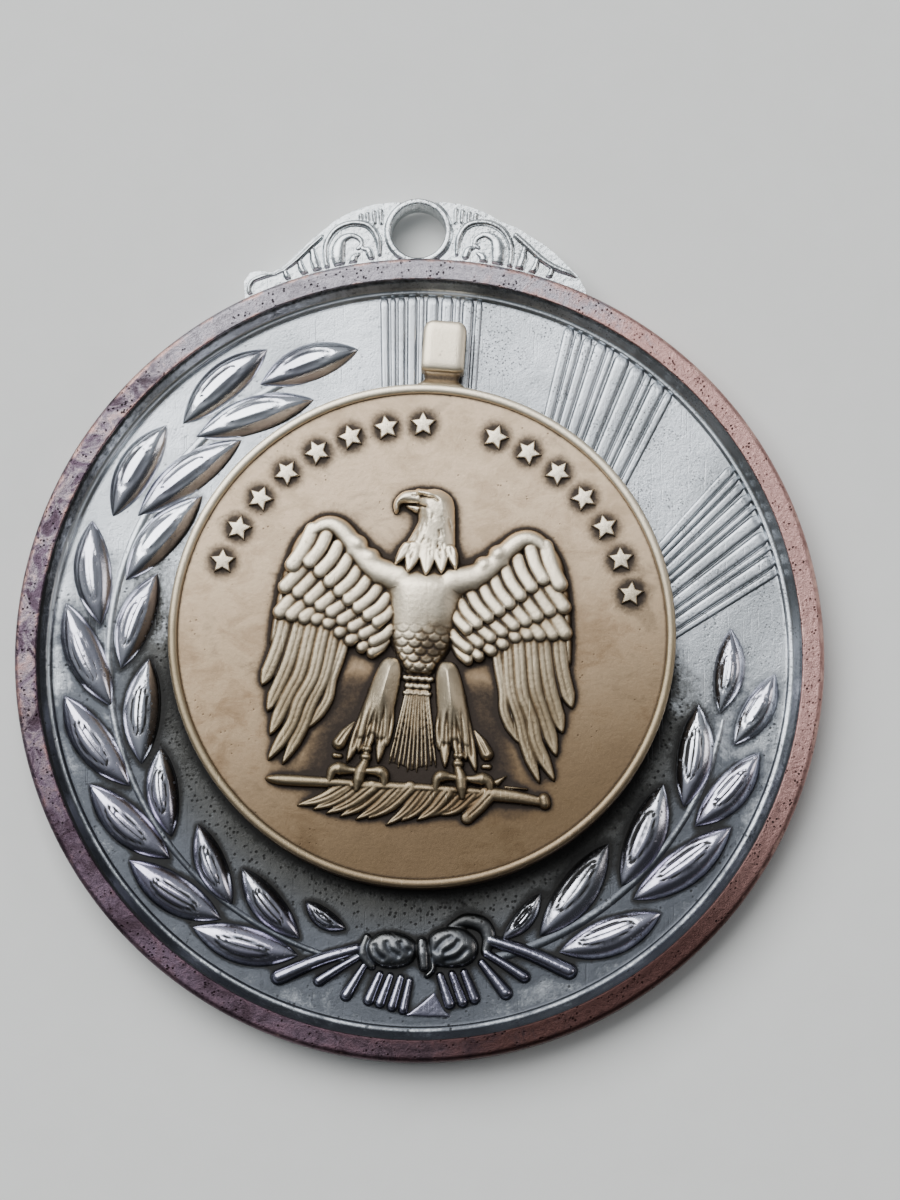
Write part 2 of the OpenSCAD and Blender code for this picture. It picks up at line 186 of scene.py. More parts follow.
class Relief:
    """A height map in millimetres over its ground; each layer keeps the highest surface."""

    def __init__(self, x0, x1, y0, y1, step, deep=-0.12):
        self.step, self.deep = step, deep
        self.x0, self.y0 = x0, y0
        self.x = np.arange(x0, x1 + step / 2, step)
        self.y = np.arange(y0, y1 + step / 2, step)
        self.X, self.Y = np.meshgrid(self.x, self.y, indexing="ij")
        self.H = np.full(self.X.shape, deep)
        self.owner = np.full(self.X.shape, -1)

    def window(self, points, margin):
        p = np.asarray(points, float)
        lo, hi = p.min(0) - margin, p.max(0) + margin
        i0, i1 = np.searchsorted(self.x, [lo[0], hi[0]])
        j0, j1 = np.searchsorted(self.y, [lo[1], hi[1]])
        return slice(max(i0 - 1, 0), i1 + 1), slice(max(j0 - 1, 0), j1 + 1)

    def raise_to(self, where, height, owner):
        old = self.H[where]
        higher = height > old
        self.H[where] = np.where(higher, height, old)
        mine = higher & (height > self.deep)
        self.owner[where] = np.where(mine, owner, self.owner[where])

    def carve(self, where, depth):
        self.H[where] = np.where(self.H[where] > 0, self.H[where] - depth, self.H[where])

    def feather(self, owner, points, width, root, tip, crown=0.16, shaft=0.03, point=0.5,
                power=2.2, steep=5.0):
        """A feather along a curve: root and tip are the heights of its edge at both ends.

        Its pointed end takes up the last share `point` of the length.
        """
        path = smooth(points, 8)
        where = self.window(path, width + 0.2)
        near, signed, share = along(self.X[where], self.Y[where], path)
        half = width / 2
        if point:
            half = half * np.clip((1 - share) / point, 0, 1) ** 0.55
        half = np.maximum(half, 0.04)
        q = near / half
        edge = root + (tip - root) * share
        h = edge + crown * dome(q, power)
        if shaft:
            h = h - shaft * bell(signed / half, 0.10) * ease((1 - share) * 6)
        h = np.where(q > 1, edge - (near - half) * steep, h)
        self.raise_to(where, h, owner)

    def pod(self, owner, points, widths, base, crown, power=2.0, steep=5.0, groove=0.0):
        """A rounded body along a curve whose width follows a list of values."""
        path = smooth(points, 8)
        where = self.window(path, max(widths) + 0.2)
        near, signed, share = along(self.X[where], self.Y[where], path)
        half = np.interp(share, np.linspace(0, 1, len(widths)), widths) / 2
        half = np.maximum(half, 0.03)
        lift = half / (max(widths) / 2)
        h = base + crown * lift * dome(near / half, power)
        if groove:
            h = h - groove * bell(signed / half, 0.2)
        h = np.where(near > half, base - (near - half) * steep, h)
        self.raise_to(where, h, owner)

    def plateau(self, owner, loop, base, crown, shoulder, steep=5.0, top=None):
        """A closed outline whose surface swells over the width of its shoulder."""
        where = self.window(loop, 0.3)
        d = inside_distance(self.X[where], self.Y[where], loop)
        rise = np.clip(d / shoulder, 0, 1)
        h = base + crown * np.sqrt(1 - (1 - rise) ** 2)
        if top is not None:
            h = h + top(self.X[where], self.Y[where]) * ease(rise)
        h = np.where(d < 0, base + d * steep, h)
        self.raise_to(where, h, owner)

    def soften(self, cells):
        self.H = blur(self.H, cells)

    def merge(self, other):
        self.raise_to((slice(None), slice(None)), other.H, other.owner)

    def finish(self, grain=0.004, seed=3):
        """Adds the cast grain and measures hollows and crests for the patina."""
        rough = value_noise(self.X, self.Y, 0.19, seed)
        rough = rough + 0.6 * value_noise(self.X, self.Y, 0.09, seed + 1)
        self.H = np.where(self.H > self.deep, self.H + grain * rough, self.H)
        self.H = np.maximum(self.H, self.deep)
        solid = np.maximum(self.H, 0)
        fine = blur(solid, FINE_REACH / self.step) - solid
        broad = blur(solid, BROAD_REACH / self.step) - solid
        self.hollow = np.clip(fine / 0.07, 0, 1) * 0.65 + np.clip(broad / 0.2, 0, 1) * 0.6
        self.crest = np.clip(-fine / 0.05, 0, 1) * 0.5 + np.clip(-broad / 0.25, 0, 1) * 0.7
        self.level = solid
        cover = (self.H > 0.02).astype(float)
        self.halo = np.clip(blur(cover, HALO_REACH / self.step) * 1.5, 0, 1)
        self.wide_halo = blur(cover, WIDE_REACH / self.step)

    def sample(self, field, x, y):
        u = np.clip((x - self.x0) / self.step, 0, len(self.x) - 1.001)
        v = np.clip((y - self.y0) / self.step, 0, len(self.y) - 1.001)
        i, j = u.astype(int), v.astype(int)
        fu, fv = u - i, v - j
        value = ((field[i, j] * (1 - fu) + field[i + 1, j] * fu) * (1 - fv)
                 + (field[i, j + 1] * (1 - fu) + field[i + 1, j + 1] * fu) * fv)
        out = (x < self.x[0]) | (x > self.x[-1]) | (y < self.y[0]) | (y > self.y[-1])
        return np.where(out, 0.0, value)

    def cell_owners(self):
        """One owner for each cell, with no two cells of one owner meeting only at a corner."""
        H = np.stack([self.H[:-1, :-1], self.H[1:, :-1], self.H[:-1, 1:], self.H[1:, 1:]])
        O = np.stack([self.owner[:-1, :-1], self.owner[1:, :-1], self.owner[:-1, 1:],
                      self.owner[1:, 1:]])
        top = H.argmax(0)
        cells = np.take_along_axis(O, top[None], 0)[0]
        cells = np.where(H.max(0) > self.deep + 0.02, cells, -1)
        for _ in range(6):
            changed = 0
            a, b = cells[:-1, :-1], cells[1:, 1:]
            c, d = cells[1:, :-1], cells[:-1, 1:]
            for p, q, r, s in ((a, b, c, d), (c, d, a, b)):
                clash = (p == q) & (p >= 0) & (r != p) & (s != p)
                changed += clash.sum()
                r[clash] = p[clash]
            if not changed:
                break
        return cells


def relief_object(name, relief, cells, owner, place, node_names, material, bottom=None,
                  snap=None):
    """The closed solid of one owner's cells: relief on top, flat underneath."""
    bottom = relief.deep - 0.03 if bottom is None else bottom
    mine = cells == owner
    ci, cj = np.nonzero(mine)
    nx, ny = relief.X.shape
    corner = lambda di, dj: (ci + di) * ny + (cj + dj)
    quads = np.stack([corner(0, 0), corner(1, 0), corner(1, 1), corner(0, 1)], 1)
    used, index = np.unique(quads, return_inverse=True)
    quads = index.reshape(-1, 4)
    n = len(used)
    x, y = relief.X.ravel()[used], relief.Y.ravel()[used]
    z = relief.H.ravel()[used]
    if snap is not None:
        edges = np.sort(np.stack([quads, np.roll(quads, -1, 1)], 2).reshape(-1, 2), 1)
        keys, counts = np.unique(edges[:, 0] * n + edges[:, 1], return_counts=True)
        rim = np.unique(np.concatenate([keys[counts == 1] // n, keys[counts == 1] % n]))
        x, y = snap(x, y, rim)
    a, b = quads.ravel(), np.roll(quads, -1, 1).ravel()
    forward = a * n + b
    lonely = ~np.isin(forward, b * n + a)
    a, b = a[lonely], b[lonely]
    walls = np.stack([b, a, a + n, b + n], 1)
    faces = np.vstack([quads, walls, quads[:, ::-1] + n])
    px, py = place(np.concatenate([x, x]), np.concatenate([y, y]))
    height = np.concatenate([z, np.full(n, bottom)])
    verts = np.stack([px, py, place.z + height], 1)
    both = lambda f: np.concatenate([f.ravel()[used]] * 2)
    attributes = patina(both(relief.hollow), both(relief.crest), both(relief.level))
    make_object(name, verts, faces, node_names, material, attributes, 75)


# ---------------------------------------------------------------- where things are, in mm

def box_mm(node):
    lo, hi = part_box(node)
    return np.array(lo) / MM, np.array(hi) / MM


RIM_LO, RIM_HI = box_mm("medal_rim")
MEDAL_R = (RIM_HI[0] - RIM_LO[0]) / 2
MEDAL_TOP = RIM_HI[2]
LAND_R = box_mm("medal_disc")[1][0]
FIELD_R = 23.2
FIELD_Z = box_mm("laurel_leaves_left_outer")[0][2]
BORDER_LO, BORDER_HI = box_mm("pendant_rim")
PENDANT = (BORDER_LO[:2] + BORDER_HI[:2]) / 2
PENDANT_R = (BORDER_HI[0] - BORDER_LO[0]) / 2
FACE_Z = BORDER_LO[2]
BORDER_TOP = BORDER_HI[2]
PENDANT_Z = box_mm("pendant_disc")[0][2]
LUG_LO, LUG_HI = box_mm("suspension_lug")
LUG_TOP = box_mm("lug_scrolls_right")[0][2]
TURN = -4.5
EYE = np.array([0.0, 27.2])
EYE_R = 1.75
COLLAR_R = 2.1
STAR_R = 13.3


class Place:
    """Turns, shifts and lifts a relief into the object's frame."""

    def __init__(self, shift=(0.0, 0.0), turn=0.0, z=0.0):
        self.shift, self.z = shift, z
        self.c, self.s = math.cos(math.radians(turn)), math.sin(math.radians(turn))

    def __call__(self, x, y):
        return (self.shift[0] + self.c * x - self.s * y, self.shift[1] + self.s * x + self.c * y)

    def back(self, x, y):
        u, v = x - self.shift[0], y - self.shift[1]
        return self.c * u + self.s * v, self.c * v - self.s * u


ON_PENDANT = Place(PENDANT, TURN, FACE_Z)
ON_FIELD = Place(z=FIELD_Z)
ON_LUG = Place(z=LUG_TOP)


# ---------------------------------------------------------------- the eagle and its perch

EAGLE_NODES = ["eagle_tail", "palm_branch", "sword", "eagle_leg_left", "eagle_leg_right",
               "eagle_wing_left", "eagle_wing_right", "eagle_body", "eagle_head"]
TAIL, PALM, SWORD, LEG_L, LEG_R, WING_L, WING_R, BODY, HEAD = range(9)

# Feathers of the right wing as (root, tip, width), from the outer edge inwards.
UPPER_COVERTS = [((7.3, 6.0), (8.35, 3.7), 1.05), ((6.4, 5.75), (7.3, 3.95), 0.95),
                 ((5.6, 5.1), (6.6, 3.4), 0.95), ((4.9, 4.4), (5.95, 2.8), 0.92),
                 ((4.25, 3.75), (5.3, 2.25), 0.9), ((3.6, 3.2), (4.7, 1.75), 0.88),
                 ((2.9, 2.7), (4.05, 1.3), 0.86), ((2.3, 2.1), (3.4, 0.85), 0.84),
                 ((1.9, 1.5), (2.8, 0.45), 0.8)]
MIDDLE_COVERTS = [((7.1, 4.6), (8.7, 2.3), 0.98), ((6.5, 4.1), (7.85, 2.0), 0.94),
                  ((5.9, 3.4), (7.1, 1.6), 0.92), ((5.2, 2.8), (6.4, 1.25), 0.9),
                  ((4.5, 2.2), (5.7, 0.9), 0.88), ((3.9, 1.6), (5.0, 0.45), 0.86),
                  ((3.2, 1.1), (4.3, 0.05), 0.84), ((2.5, 0.7), (3.6, -0.35), 0.8),
                  ((1.9, 0.2), (2.95, -0.75), 0.76)]
LOWER_COVERTS = [((7.4, 3.2), (8.9, 0.7), 0.98), ((6.8, 2.6), (8.15, 0.55), 0.94),
                 ((6.2, 2.0), (7.35, 0.45), 0.92), ((5.5, 1.6), (6.6, 0.4), 0.9),
                 ((4.9, 1.2), (5.85, 0.2), 0.86), ((4.2, 0.6), (5.1, -0.3), 0.84),
                 ((3.5, 0.2), (4.4, -0.75), 0.8), ((2.8, -0.2), (3.65, -1.15), 0.74),
                 ((2.2, -0.6), (3.0, -1.45), 0.66)]
QUILLS = [([(4.75, 0.2), (4.85, -1.2), (5.35, -3.2), (5.55, -4.6), (6.5, -6.35)], 0.80, 0.30),
          ([(5.3, 0.4), (5.5, -1), (5.85, -3.2), (6.5, -4.9), (7.0, -6.5), (8.0, -8.75)], 0.90, 0.34),
          ([(5.95, 0.6), (6.2, -1), (6.55, -3.2), (7.25, -4.8), (7.7, -6.4), (8.9, -8.55)], 0.98, 0.38),
          ([(6.75, 0.7), (7.0, -1), (7.35, -3.0), (8.0, -4.6), (8.92, -7.0)], 1.06, 0.36),
          ([(7.5, 0.8), (7.8, -1), (8.25, -2.9), (9.2, -5.55)], 1.08, 0.34),
          ([(8.45, 1.2), (8.7, -0.8), (9.15, -2.5), (9.68, -3.95)], 1.06, 0.32)]
ARM = [(1.6, 3.35), (2.6, 3.6), (3.4, 3.95), (4.2, 4.65), (5.0, 5.6), (5.7, 6.25), (6.4, 6.4),
       (7.1, 6.05), (7.8, 5.25), (8.3, 4.1), (8.75, 2.6), (9.05, 0.8), (9.28, -1.2)]
ARM_WIDTHS = [2.0, 1.8, 1.55, 1.4, 1.35, 1.15, 0.95, 0.85, 0.66, 0.5, 0.42, 0.36, 0.2]


def add_wing(r, owner, side):
    """Quills first, then three rows of coverts, each row over the one before."""
    flip = mirror(side)
    wobble = np.random.default_rng(SEED + side)
    r.plateau(owner, smooth(flip([(2.3, 2.9), (5, 5), (6.4, 6), (8, 4.8), (8.8, 2), (9.1, -1),
                                  (8.9, -4), (8.2, -6), (6.6, -5), (5.2, -3.4), (4.8, -0.4),
                                  (3.4, -0.6), (2.4, -0.2)]), 6, closed=True), 0.04, 0.16, 0.6)
    for points, width, height in QUILLS:
        path = flip(points)
        r.feather(owner, path, width - 0.08, height - 0.02, height - 0.16, crown=0.24, shaft=0.02,
                  point=0.16, power=4.0, steep=7)
    rows = ((LOWER_COVERTS, 0.36, 0.54), (MIDDLE_COVERTS, 0.46, 0.64), (UPPER_COVERTS, 0.54, 0.74))
    for row, root_height, tip_height in rows:
        for root, tip, width in reversed(row):
            mid = ((root[0] + tip[0]) / 2 - 0.10, (root[1] + tip[1]) / 2 - 0.04)
            lift = wobble.uniform(-0.02, 0.02)
            r.feather(owner, flip([root, mid, tip]), 0.94 * width, root_height + lift, tip_height + lift,
                      crown=0.2, point=0.0, shaft=0.0, steep=7, power=2.5)


def add_arm(r, owner, side):
    """The bent fore edge of the wing, with three fleshy folds where it joins the breast."""
    flip = mirror(side)
    r.pod(owner, flip(ARM), ARM_WIDTHS, 0.4, 0.74, power=2.2, steep=6)
    for (x, y), width in (((4.85, 4.75), 1.05), ((4.0, 3.95), 1.1), ((3.1, 3.2), 1.2)):
        r.pod(owner, flip([(x - 0.4, y + 0.5), (x - 0.1, y + 0.1), (x, y)]),
              [width * 1.3, width, width * 0.8], 0.5, 0.55, steep=8)


def add_breast(r):
    breast = smooth([(-3.0, 3.9), (-1.8, 4.3), (0, 4.4), (1.8, 4.3), (3.0, 3.9), (2.85, 2.9),
                     (2.5, 2.0), (2.3, 0.9), (2.0, -0.3), (1.5, -1.3), (1.05, -2.1), (0.6, -2.5),
                     (-0.6, -2.5), (-1.05, -2.1), (-1.5, -1.3), (-2.0, -0.3), (-2.3, 0.9),
                     (-2.5, 2.0), (-2.85, 2.9)], 6, closed=True)
    swell = lambda x, y: 0.46 * bell(x, 2.3) * bell(y - 2.8, 2.4) - 0.30 * ease((-y - 0.2) / 2.2) - 0.02
    r.plateau(BODY, breast, 0.28, 0.60, 1.5, top=swell)


def add_belly(r):
    """Rows of small scallops cut into the lower body."""
    where = r.window([(-2.4, -2.6), (2.4, 1.4)], 0)
    X, Y = r.X[where], r.Y[where]
    cut = np.zeros(X.shape)
    for row in range(7):
        y = 0.75 - 0.45 * row
        shift = 0.4 * (row % 2)
        for k in range(-3, 3):
            x = 0.8 * k + shift + 0.02
            arc = np.array([(x + 0.44 * math.cos(a), y - 0.38 * math.sin(a))
                            for a in np.linspace(0.15, math.pi - 0.15, 9)])
            cut = np.maximum(cut, bell(along(X, Y, arc)[0], 0.07))
    fade = ease((1.0 - Y) / 2.2) * ease((2.1 + 0.42 * (Y + 0.3) * (Y < -0.3) - np.abs(X)) / 0.4)
    r.carve(where, 0.075 * cut * fade)


def add_vent(r):
    """Rows of small round feathers below the belly, as (y, count, size, pitch)."""
    reach = 0.14
    rows = ((-2.35, 3, 0.46, 0.5), (-2.8, 4, 0.42, 0.46), (-3.3, 3, 0.5, 0.48),
            (-3.75, 4, 0.36, 0.42))
    for y, count, size, pitch in rows:
        for x in pitch * (np.arange(count) - 0.5 * (count - 1)):
            r.pod(BODY, [(x - reach, y), (x, y - 0.05), (x + reach, y)], [size] * 3, 0.1, 0.26)


def add_head(r):
    """Head and neck with a ruff, a two-part bill, the brow and fine marks on the neck."""
    neck = smooth([(1.15, 8.75), (1.42, 8.2), (1.52, 7.4), (1.6, 6.4), (1.7, 5.4), (1.8, 4.5),
                   (1.55, 4.35), (-1.5, 4.35), (-1.75, 4.7), (-1.45, 5.5), (-1.05, 6.3), (-0.78, 7.0),
                   (-0.8, 7.55), (-0.9, 8.2), (-0.8, 8.85), (-0.2, 9.12), (0.5, 9.12)], 6, closed=True)
    swell = lambda x, y: 0.2 * bell(y - 7.9, 1.6) + 0.12 * bell(x - 0.2, 1.0)
    r.plateau(HEAD, neck, 0.4, 0.5, 0.75, top=swell)
    for tip, root, width in (((-1.9, 4.25), (-1.3, 5.3), 0.6), ((-1.12, 3.78), (-0.85, 5.2), 0.95),
                             ((0.0, 3.66), (0.0, 5.3), 1.05), ((0.95, 3.86), (0.8, 5.3), 0.95),
                             ((1.8, 4.2), (1.4, 5.3), 0.6)):
        r.feather(HEAD, [root, tip], width, 0.94, 1.16, crown=0.1, point=0.75, shaft=0.02)
    upper_bill = smooth([(-0.55, 8.98), (-1.25, 8.98), (-1.85, 8.82), (-2.24, 8.4), (-2.36, 7.95),
                         (-2.22, 7.5), (-2.06, 7.62), (-1.98, 8.0), (-1.7, 8.14), (-1.1, 8.12),
                         (-0.6, 8.14)], 6, closed=True)
    r.plateau(HEAD, upper_bill, 0.42, 0.42, 0.42)
    lower_bill = smooth([(-0.6, 8.08), (-1.2, 8.06), (-1.62, 8.0), (-1.2, 7.72), (-0.7, 7.5)], 6,
                        closed=True)
    r.plateau(HEAD, lower_bill, 0.38, 0.24, 0.3)
    r.pod(HEAD, [(-0.85, 8.82), (-0.2, 8.72), (0.5, 8.5)], [0.16, 0.34, 0.2], 1.02, 0.16, steep=3)
    r.pod(HEAD, [(-0.02, 8.42), (0.06, 8.42)], [0.3, 0.3], 0.98, 0.14)
    where = r.window([(-2.4, 3.6), (2, 9.2)], 0)
    X, Y = r.X[where], r.Y[where]
    slit = bell(along(X, Y, smooth([(-0.6, 8.6), (-0.2, 8.5), (0.1, 8.52), (0.42, 8.36)]))[0], 0.075)
    nostril = bell(along(X, Y, np.array([(-1.2, 8.62), (-0.98, 8.58)]))[0], 0.06)
    gape = bell(along(X, Y, smooth([(-1.75, 8.02), (-1.0, 8.06), (-0.35, 7.92)]))[0], 0.07)
    cheek = bell(along(X, Y, smooth([(-0.35, 7.9), (0.1, 7.55), (0.25, 7.1)]))[0], 0.09)
    r.carve(where, 0.16 * slit + 0.1 * nostril + 0.16 * gape + 0.03 * cheek)
    marks = np.random.default_rng(SEED)
    for _ in range(46):
        x, y = marks.uniform(-1.1, 1.45), marks.uniform(4.9, 7.9)
        lean = 0.12 * (x - 0.1) + marks.uniform(-0.08, 0.08)
        line = np.array([(x, y), (x + lean, y - marks.uniform(0.2, 0.42))])
        cut = bell(along(X, Y, line)[0], 0.055)
        r.carve(where, 0.045 * cut)


def add_leg(r, owner, side):
    """A feathered thigh, the shank with its claw-like spur, and three toes over the sword."""
    flip = mirror(side)
    thigh = smooth(flip([(1.75, -1.62), (2.3, -1.85), (2.75, -2.9), (3.15, -4.4), (3.55, -5.9),
                         (3.6, -6.8), (3.1, -6.9), (2.6, -6.6), (2.1, -6.9), (1.6, -6.6), (1.42, -5.4),
                         (1.2, -3.8), (1.08, -2.5), (1.25, -1.8)]), 6, closed=True)
    thigh = thigh if side > 0 else thigh[::-1]
    r.pod(owner, flip([(2.85, -6.9), (2.87, -8.5)]), [0.46, 0.46], 0.24, 0.3)
    for y in (-7.45, -7.95):
        r.pod(owner, flip([(2.76, y), (2.98, y)]), [0.46, 0.46], 0.34, 0.3)
    r.pod(owner, flip([(3.75, -5.85), (4.2, -6.5), (4.6, -7.2)]), [0.2, 0.7, 0.86], 0.2, 0.5,
          groove=0.12)
    r.pod(owner, flip([(4.45, -8.0), (4.8, -7.98)]), [0.34, 0.4], 0.1, 0.26)
    tips = (([(1.75, -3.4), (1.6, -5.4), (1.62, -7.15)], 0.66),
            ([(2.5, -3.4), (3.2, -5.8), (4.0, -8.3)], 0.86),
            ([(2.2, -3.6), (2.5, -5.6), (2.72, -7.35)], 0.86),
            ([(1.95, -3.4), (1.95, -6.0), (2.08, -8.2)], 0.84),
            ([(2.7, -3.8), (3.05, -6.0), (3.35, -7.7)], 0.78))

    def swell(x, y):
        return 0.34 * (bell(y + 2.9, 2.4) * bell(side * x - 2.0, 1.1) - ease((-y - 3.8) / 3.0))

    r.plateau(owner, thigh, 0.3, 0.46, 1.1, top=swell)
    for points, width in tips:
        r.feather(owner, flip(points), width, 0.14, 0.34, crown=0.2, point=0.35, shaft=0.0, power=2.4)
    for points, width in tips:
        where = r.window(flip(points), 0.5)
        near, signed, share = along(r.X[where], r.Y[where], smooth(flip(points), 8))
        edge = bell(near - 0.5 * width, 0.06) * ease((share - 0.2) * 3) * ease((1.02 - share) * 8)
        r.carve(where, 0.10 * edge)
    toes = (([(2.95, -8.35), (3.1, -8.75), (3.2, -9.3), (3.3, -10.0)], [0.5, 0.8, 0.72, 0.4]),
            ([(3.2, -8.85), (3.9, -8.85), (4.45, -8.8), (4.85, -8.98), (5.05, -9.75)],
             [0.4, 0.5, 0.86, 0.6, 0.3]),
            ([(2.9, -8.85), (2.4, -8.8), (1.95, -8.8), (1.65, -9.05), (1.6, -9.75)],
             [0.4, 0.5, 0.8, 0.56, 0.3]))
    for points, widths in toes[::-1]:
        r.pod(owner, flip(points), widths, 0.34, 0.46)


def add_tail(r):
    """Eleven narrow feathers that fan out over a thin bed."""
    bed = np.array([(-0.75, -3.6), (0.75, -3.6), (1.25, -7.2), (1.3, -8.2), (0.6, -8.3), (0, -8.6),
                    (-0.6, -8.3), (-1.3, -8.2), (-1.25, -7.2)])
    r.plateau(TAIL, bed[::-1], 0.02, 0.06, 0.3)
    for i, spread in enumerate(np.linspace(-1, 1, 11)):
        top = (0.66 * spread, -3.6)
        end = (0.05 + 1.46 * spread, -8.75 + 0.5 * abs(spread) + 0.28 * (i % 2))
        r.feather(TAIL, [top, end], 0.2, 0.18, 0.06, crown=0.16, point=0.12, shaft=0.0, steep=7)


def add_perch(r):
    """The sword with its grip, pommel and guard, and the palm branch that hangs below it."""
    blade = smooth([(-9.0, -9.74), (-8.3, -9.42), (-6, -9.36), (-2, -9.34), (5.2, -9.32),
                    (5.2, -9.9), (-2, -9.95), (-6, -10.06), (-8.2, -10.08)], 4, closed=True)
    r.plateau(SWORD, blade, 0.16, 0.36, 0.34)
    r.pod(SWORD, [(5.2, -9.68), (6.6, -9.74), (8.1, -9.9)], [0.9, 0.8, 0.62], 0.22, 0.4, power=2.6)
    r.pod(SWORD, [(8.34, -9.72), (8.44, -10.02)], [0.72, 0.7], 0.26, 0.4)
    r.plateau(SWORD, np.array([(5.0, -9.15), (5.45, -9.2), (5.95, -8.45), (5.0, -8.85)]), 0.2, 0.2, 0.2)
    r.pod(SWORD, [(5.9, -9.17), (7.25, -9.2)], [0.2, 0.16], 0.12, 0.2)
    bed = np.array([(-4.6, -9.9), (-5.0, -10.7), (-3.6, -11.0), (-1.0, -11.2), (0.6, -10.9),
                    (2.4, -10.6), (4.2, -10.2), (4.8, -9.7), (0.0, -9.6)])
    r.plateau(PALM, bed[::-1], 0.05, 0.14, 0.3)
    spots = np.random.default_rng(SEED + 3)
    count = 12
    knots = (0, 0.3, 0.6, 0.8, 1)
    reaches, leans = (3.1, 3.2, 2.9, 2.4, 2.2), (207, 218, 228, 224, 208)
    for k in range(count):
        share = k / (count - 1)
        root = np.array([-3.9 + 8.6 * share, -9.8 + 0.12 * (k % 2)])
        reach = np.interp(share, knots, reaches) + spots.uniform(-0.15, 0.25)
        lean = math.radians(np.interp(share, knots, leans) + spots.uniform(-3, 3))
        tip = root + reach * np.array([math.cos(lean), math.sin(lean)])
        bend = 0.5 * (root + tip) + (0.08, -0.18)
        r.feather(PALM, [root, bend, tip], 0.86, 0.3 + 0.03 * (k % 3), 0.16, crown=0.18, point=0.7,
                  shaft=0.06, power=3.0, steep=5)
    r.feather(PALM, [(-3.6, -9.78), (0.5, -9.66), (4.9, -9.7)], 0.34, 0.42, 0.36, crown=0.12,
              point=0.1, shaft=0.0)
    r.feather(PALM, [(5.0, -9.75), (4.4, -10.5), (3.7, -11.25)], 0.78, 0.46, 0.26, crown=0.16,
              point=0.0, shaft=0.05)


def build_eagle_relief():
    size = (-10.6, 10.6, -12.8, 9.8, 0.05)
    r = Relief(*size)
    add_tail(r)
    add_perch(r)
    add_wing(r, WING_L, -1)
    add_wing(r, WING_R, 1)
    add_leg(r, LEG_L, -1)
    add_leg(r, LEG_R, 1)
    flesh = Relief(*size)
    add_arm(flesh, WING_L, -1)
    add_arm(flesh, WING_R, 1)
    add_breast(flesh)
    flesh.soften(2.6)
    r.merge(flesh)
    add_belly(r)
    add_vent(r)
    add_head(r)
    r.soften(0.6)
    r.finish()
    patchy = 0.75 + 0.5 * value_noise(r.X, r.Y, 0.5, 31)
    stain = patchy * bell(np.hypot((r.X - 0.7) / 1.3, (r.Y + 0.6) / 1.8), 0.9)
    r.hollow = r.hollow + 0.55 * np.clip(stain, 0, 1) * (r.owner == BODY)
    return r


# ---------------------------------------------------------------- the suspension lug

LUG_RIGHT = [(10.8, 22.3), (10.6, 23.4), (10.1, 24.3), (9.4, 25.0), (8.7, 25.7), (8.0, 26.3),
             (7.2, 26.8), (6.3, 27.4), (5.3, 27.8), (4.3, 28.4), (3.4, 28.75), (2.6, 28.98),
             (1.7, 29.1)]
LUG_LEFT = [(-1.7, 29.1), (-2.7, 29.0), (-3.5, 28.8), (-4.3, 28.5), (-5.3, 27.95), (-6.2, 27.2),
            (-7.0, 26.5), (-7.9, 25.6), (-8.7, 24.9), (-9.3, 24.6), (-10.1, 24.7), (-10.7, 24.6),
            (-11.1, 24.0), (-11.0, 22.3)]
LUG_OUTLINE = np.array([(0, 20.0)] + LUG_RIGHT + LUG_LEFT)
LUG, SCROLL_L, SCROLL_R = range(3)


def lug_edge(x, y):
    """Distance inside the edge of the lug plate: outline and collar, less medal and eye."""
    eye = np.hypot(x - EYE[0], y - EYE[1])
    plate = np.maximum(inside_distance(x, y, LUG_OUTLINE), COLLAR_R - eye)
    return np.minimum(plate, np.minimum(np.hypot(x, y) - MEDAL_R, eye - EYE_R))


def snap_to_lug(x, y, rim):
    """Moves the outermost points onto the plate's true edge."""
    x, y = x.copy(), y.copy()
    e = 1e-3
    for _ in range(2):
        u, v = x[rim], y[rim]
        d = lug_edge(u, v)
        gx = (lug_edge(u + e, v) - lug_edge(u - e, v)) / (2 * e)
        gy = (lug_edge(u, v + e) - lug_edge(u, v - e)) / (2 * e)
        size = np.maximum(gx * gx + gy * gy, 0.3)
        x[rim], y[rim] = u - d * gx / size, v - d * gy / size
    return x, y


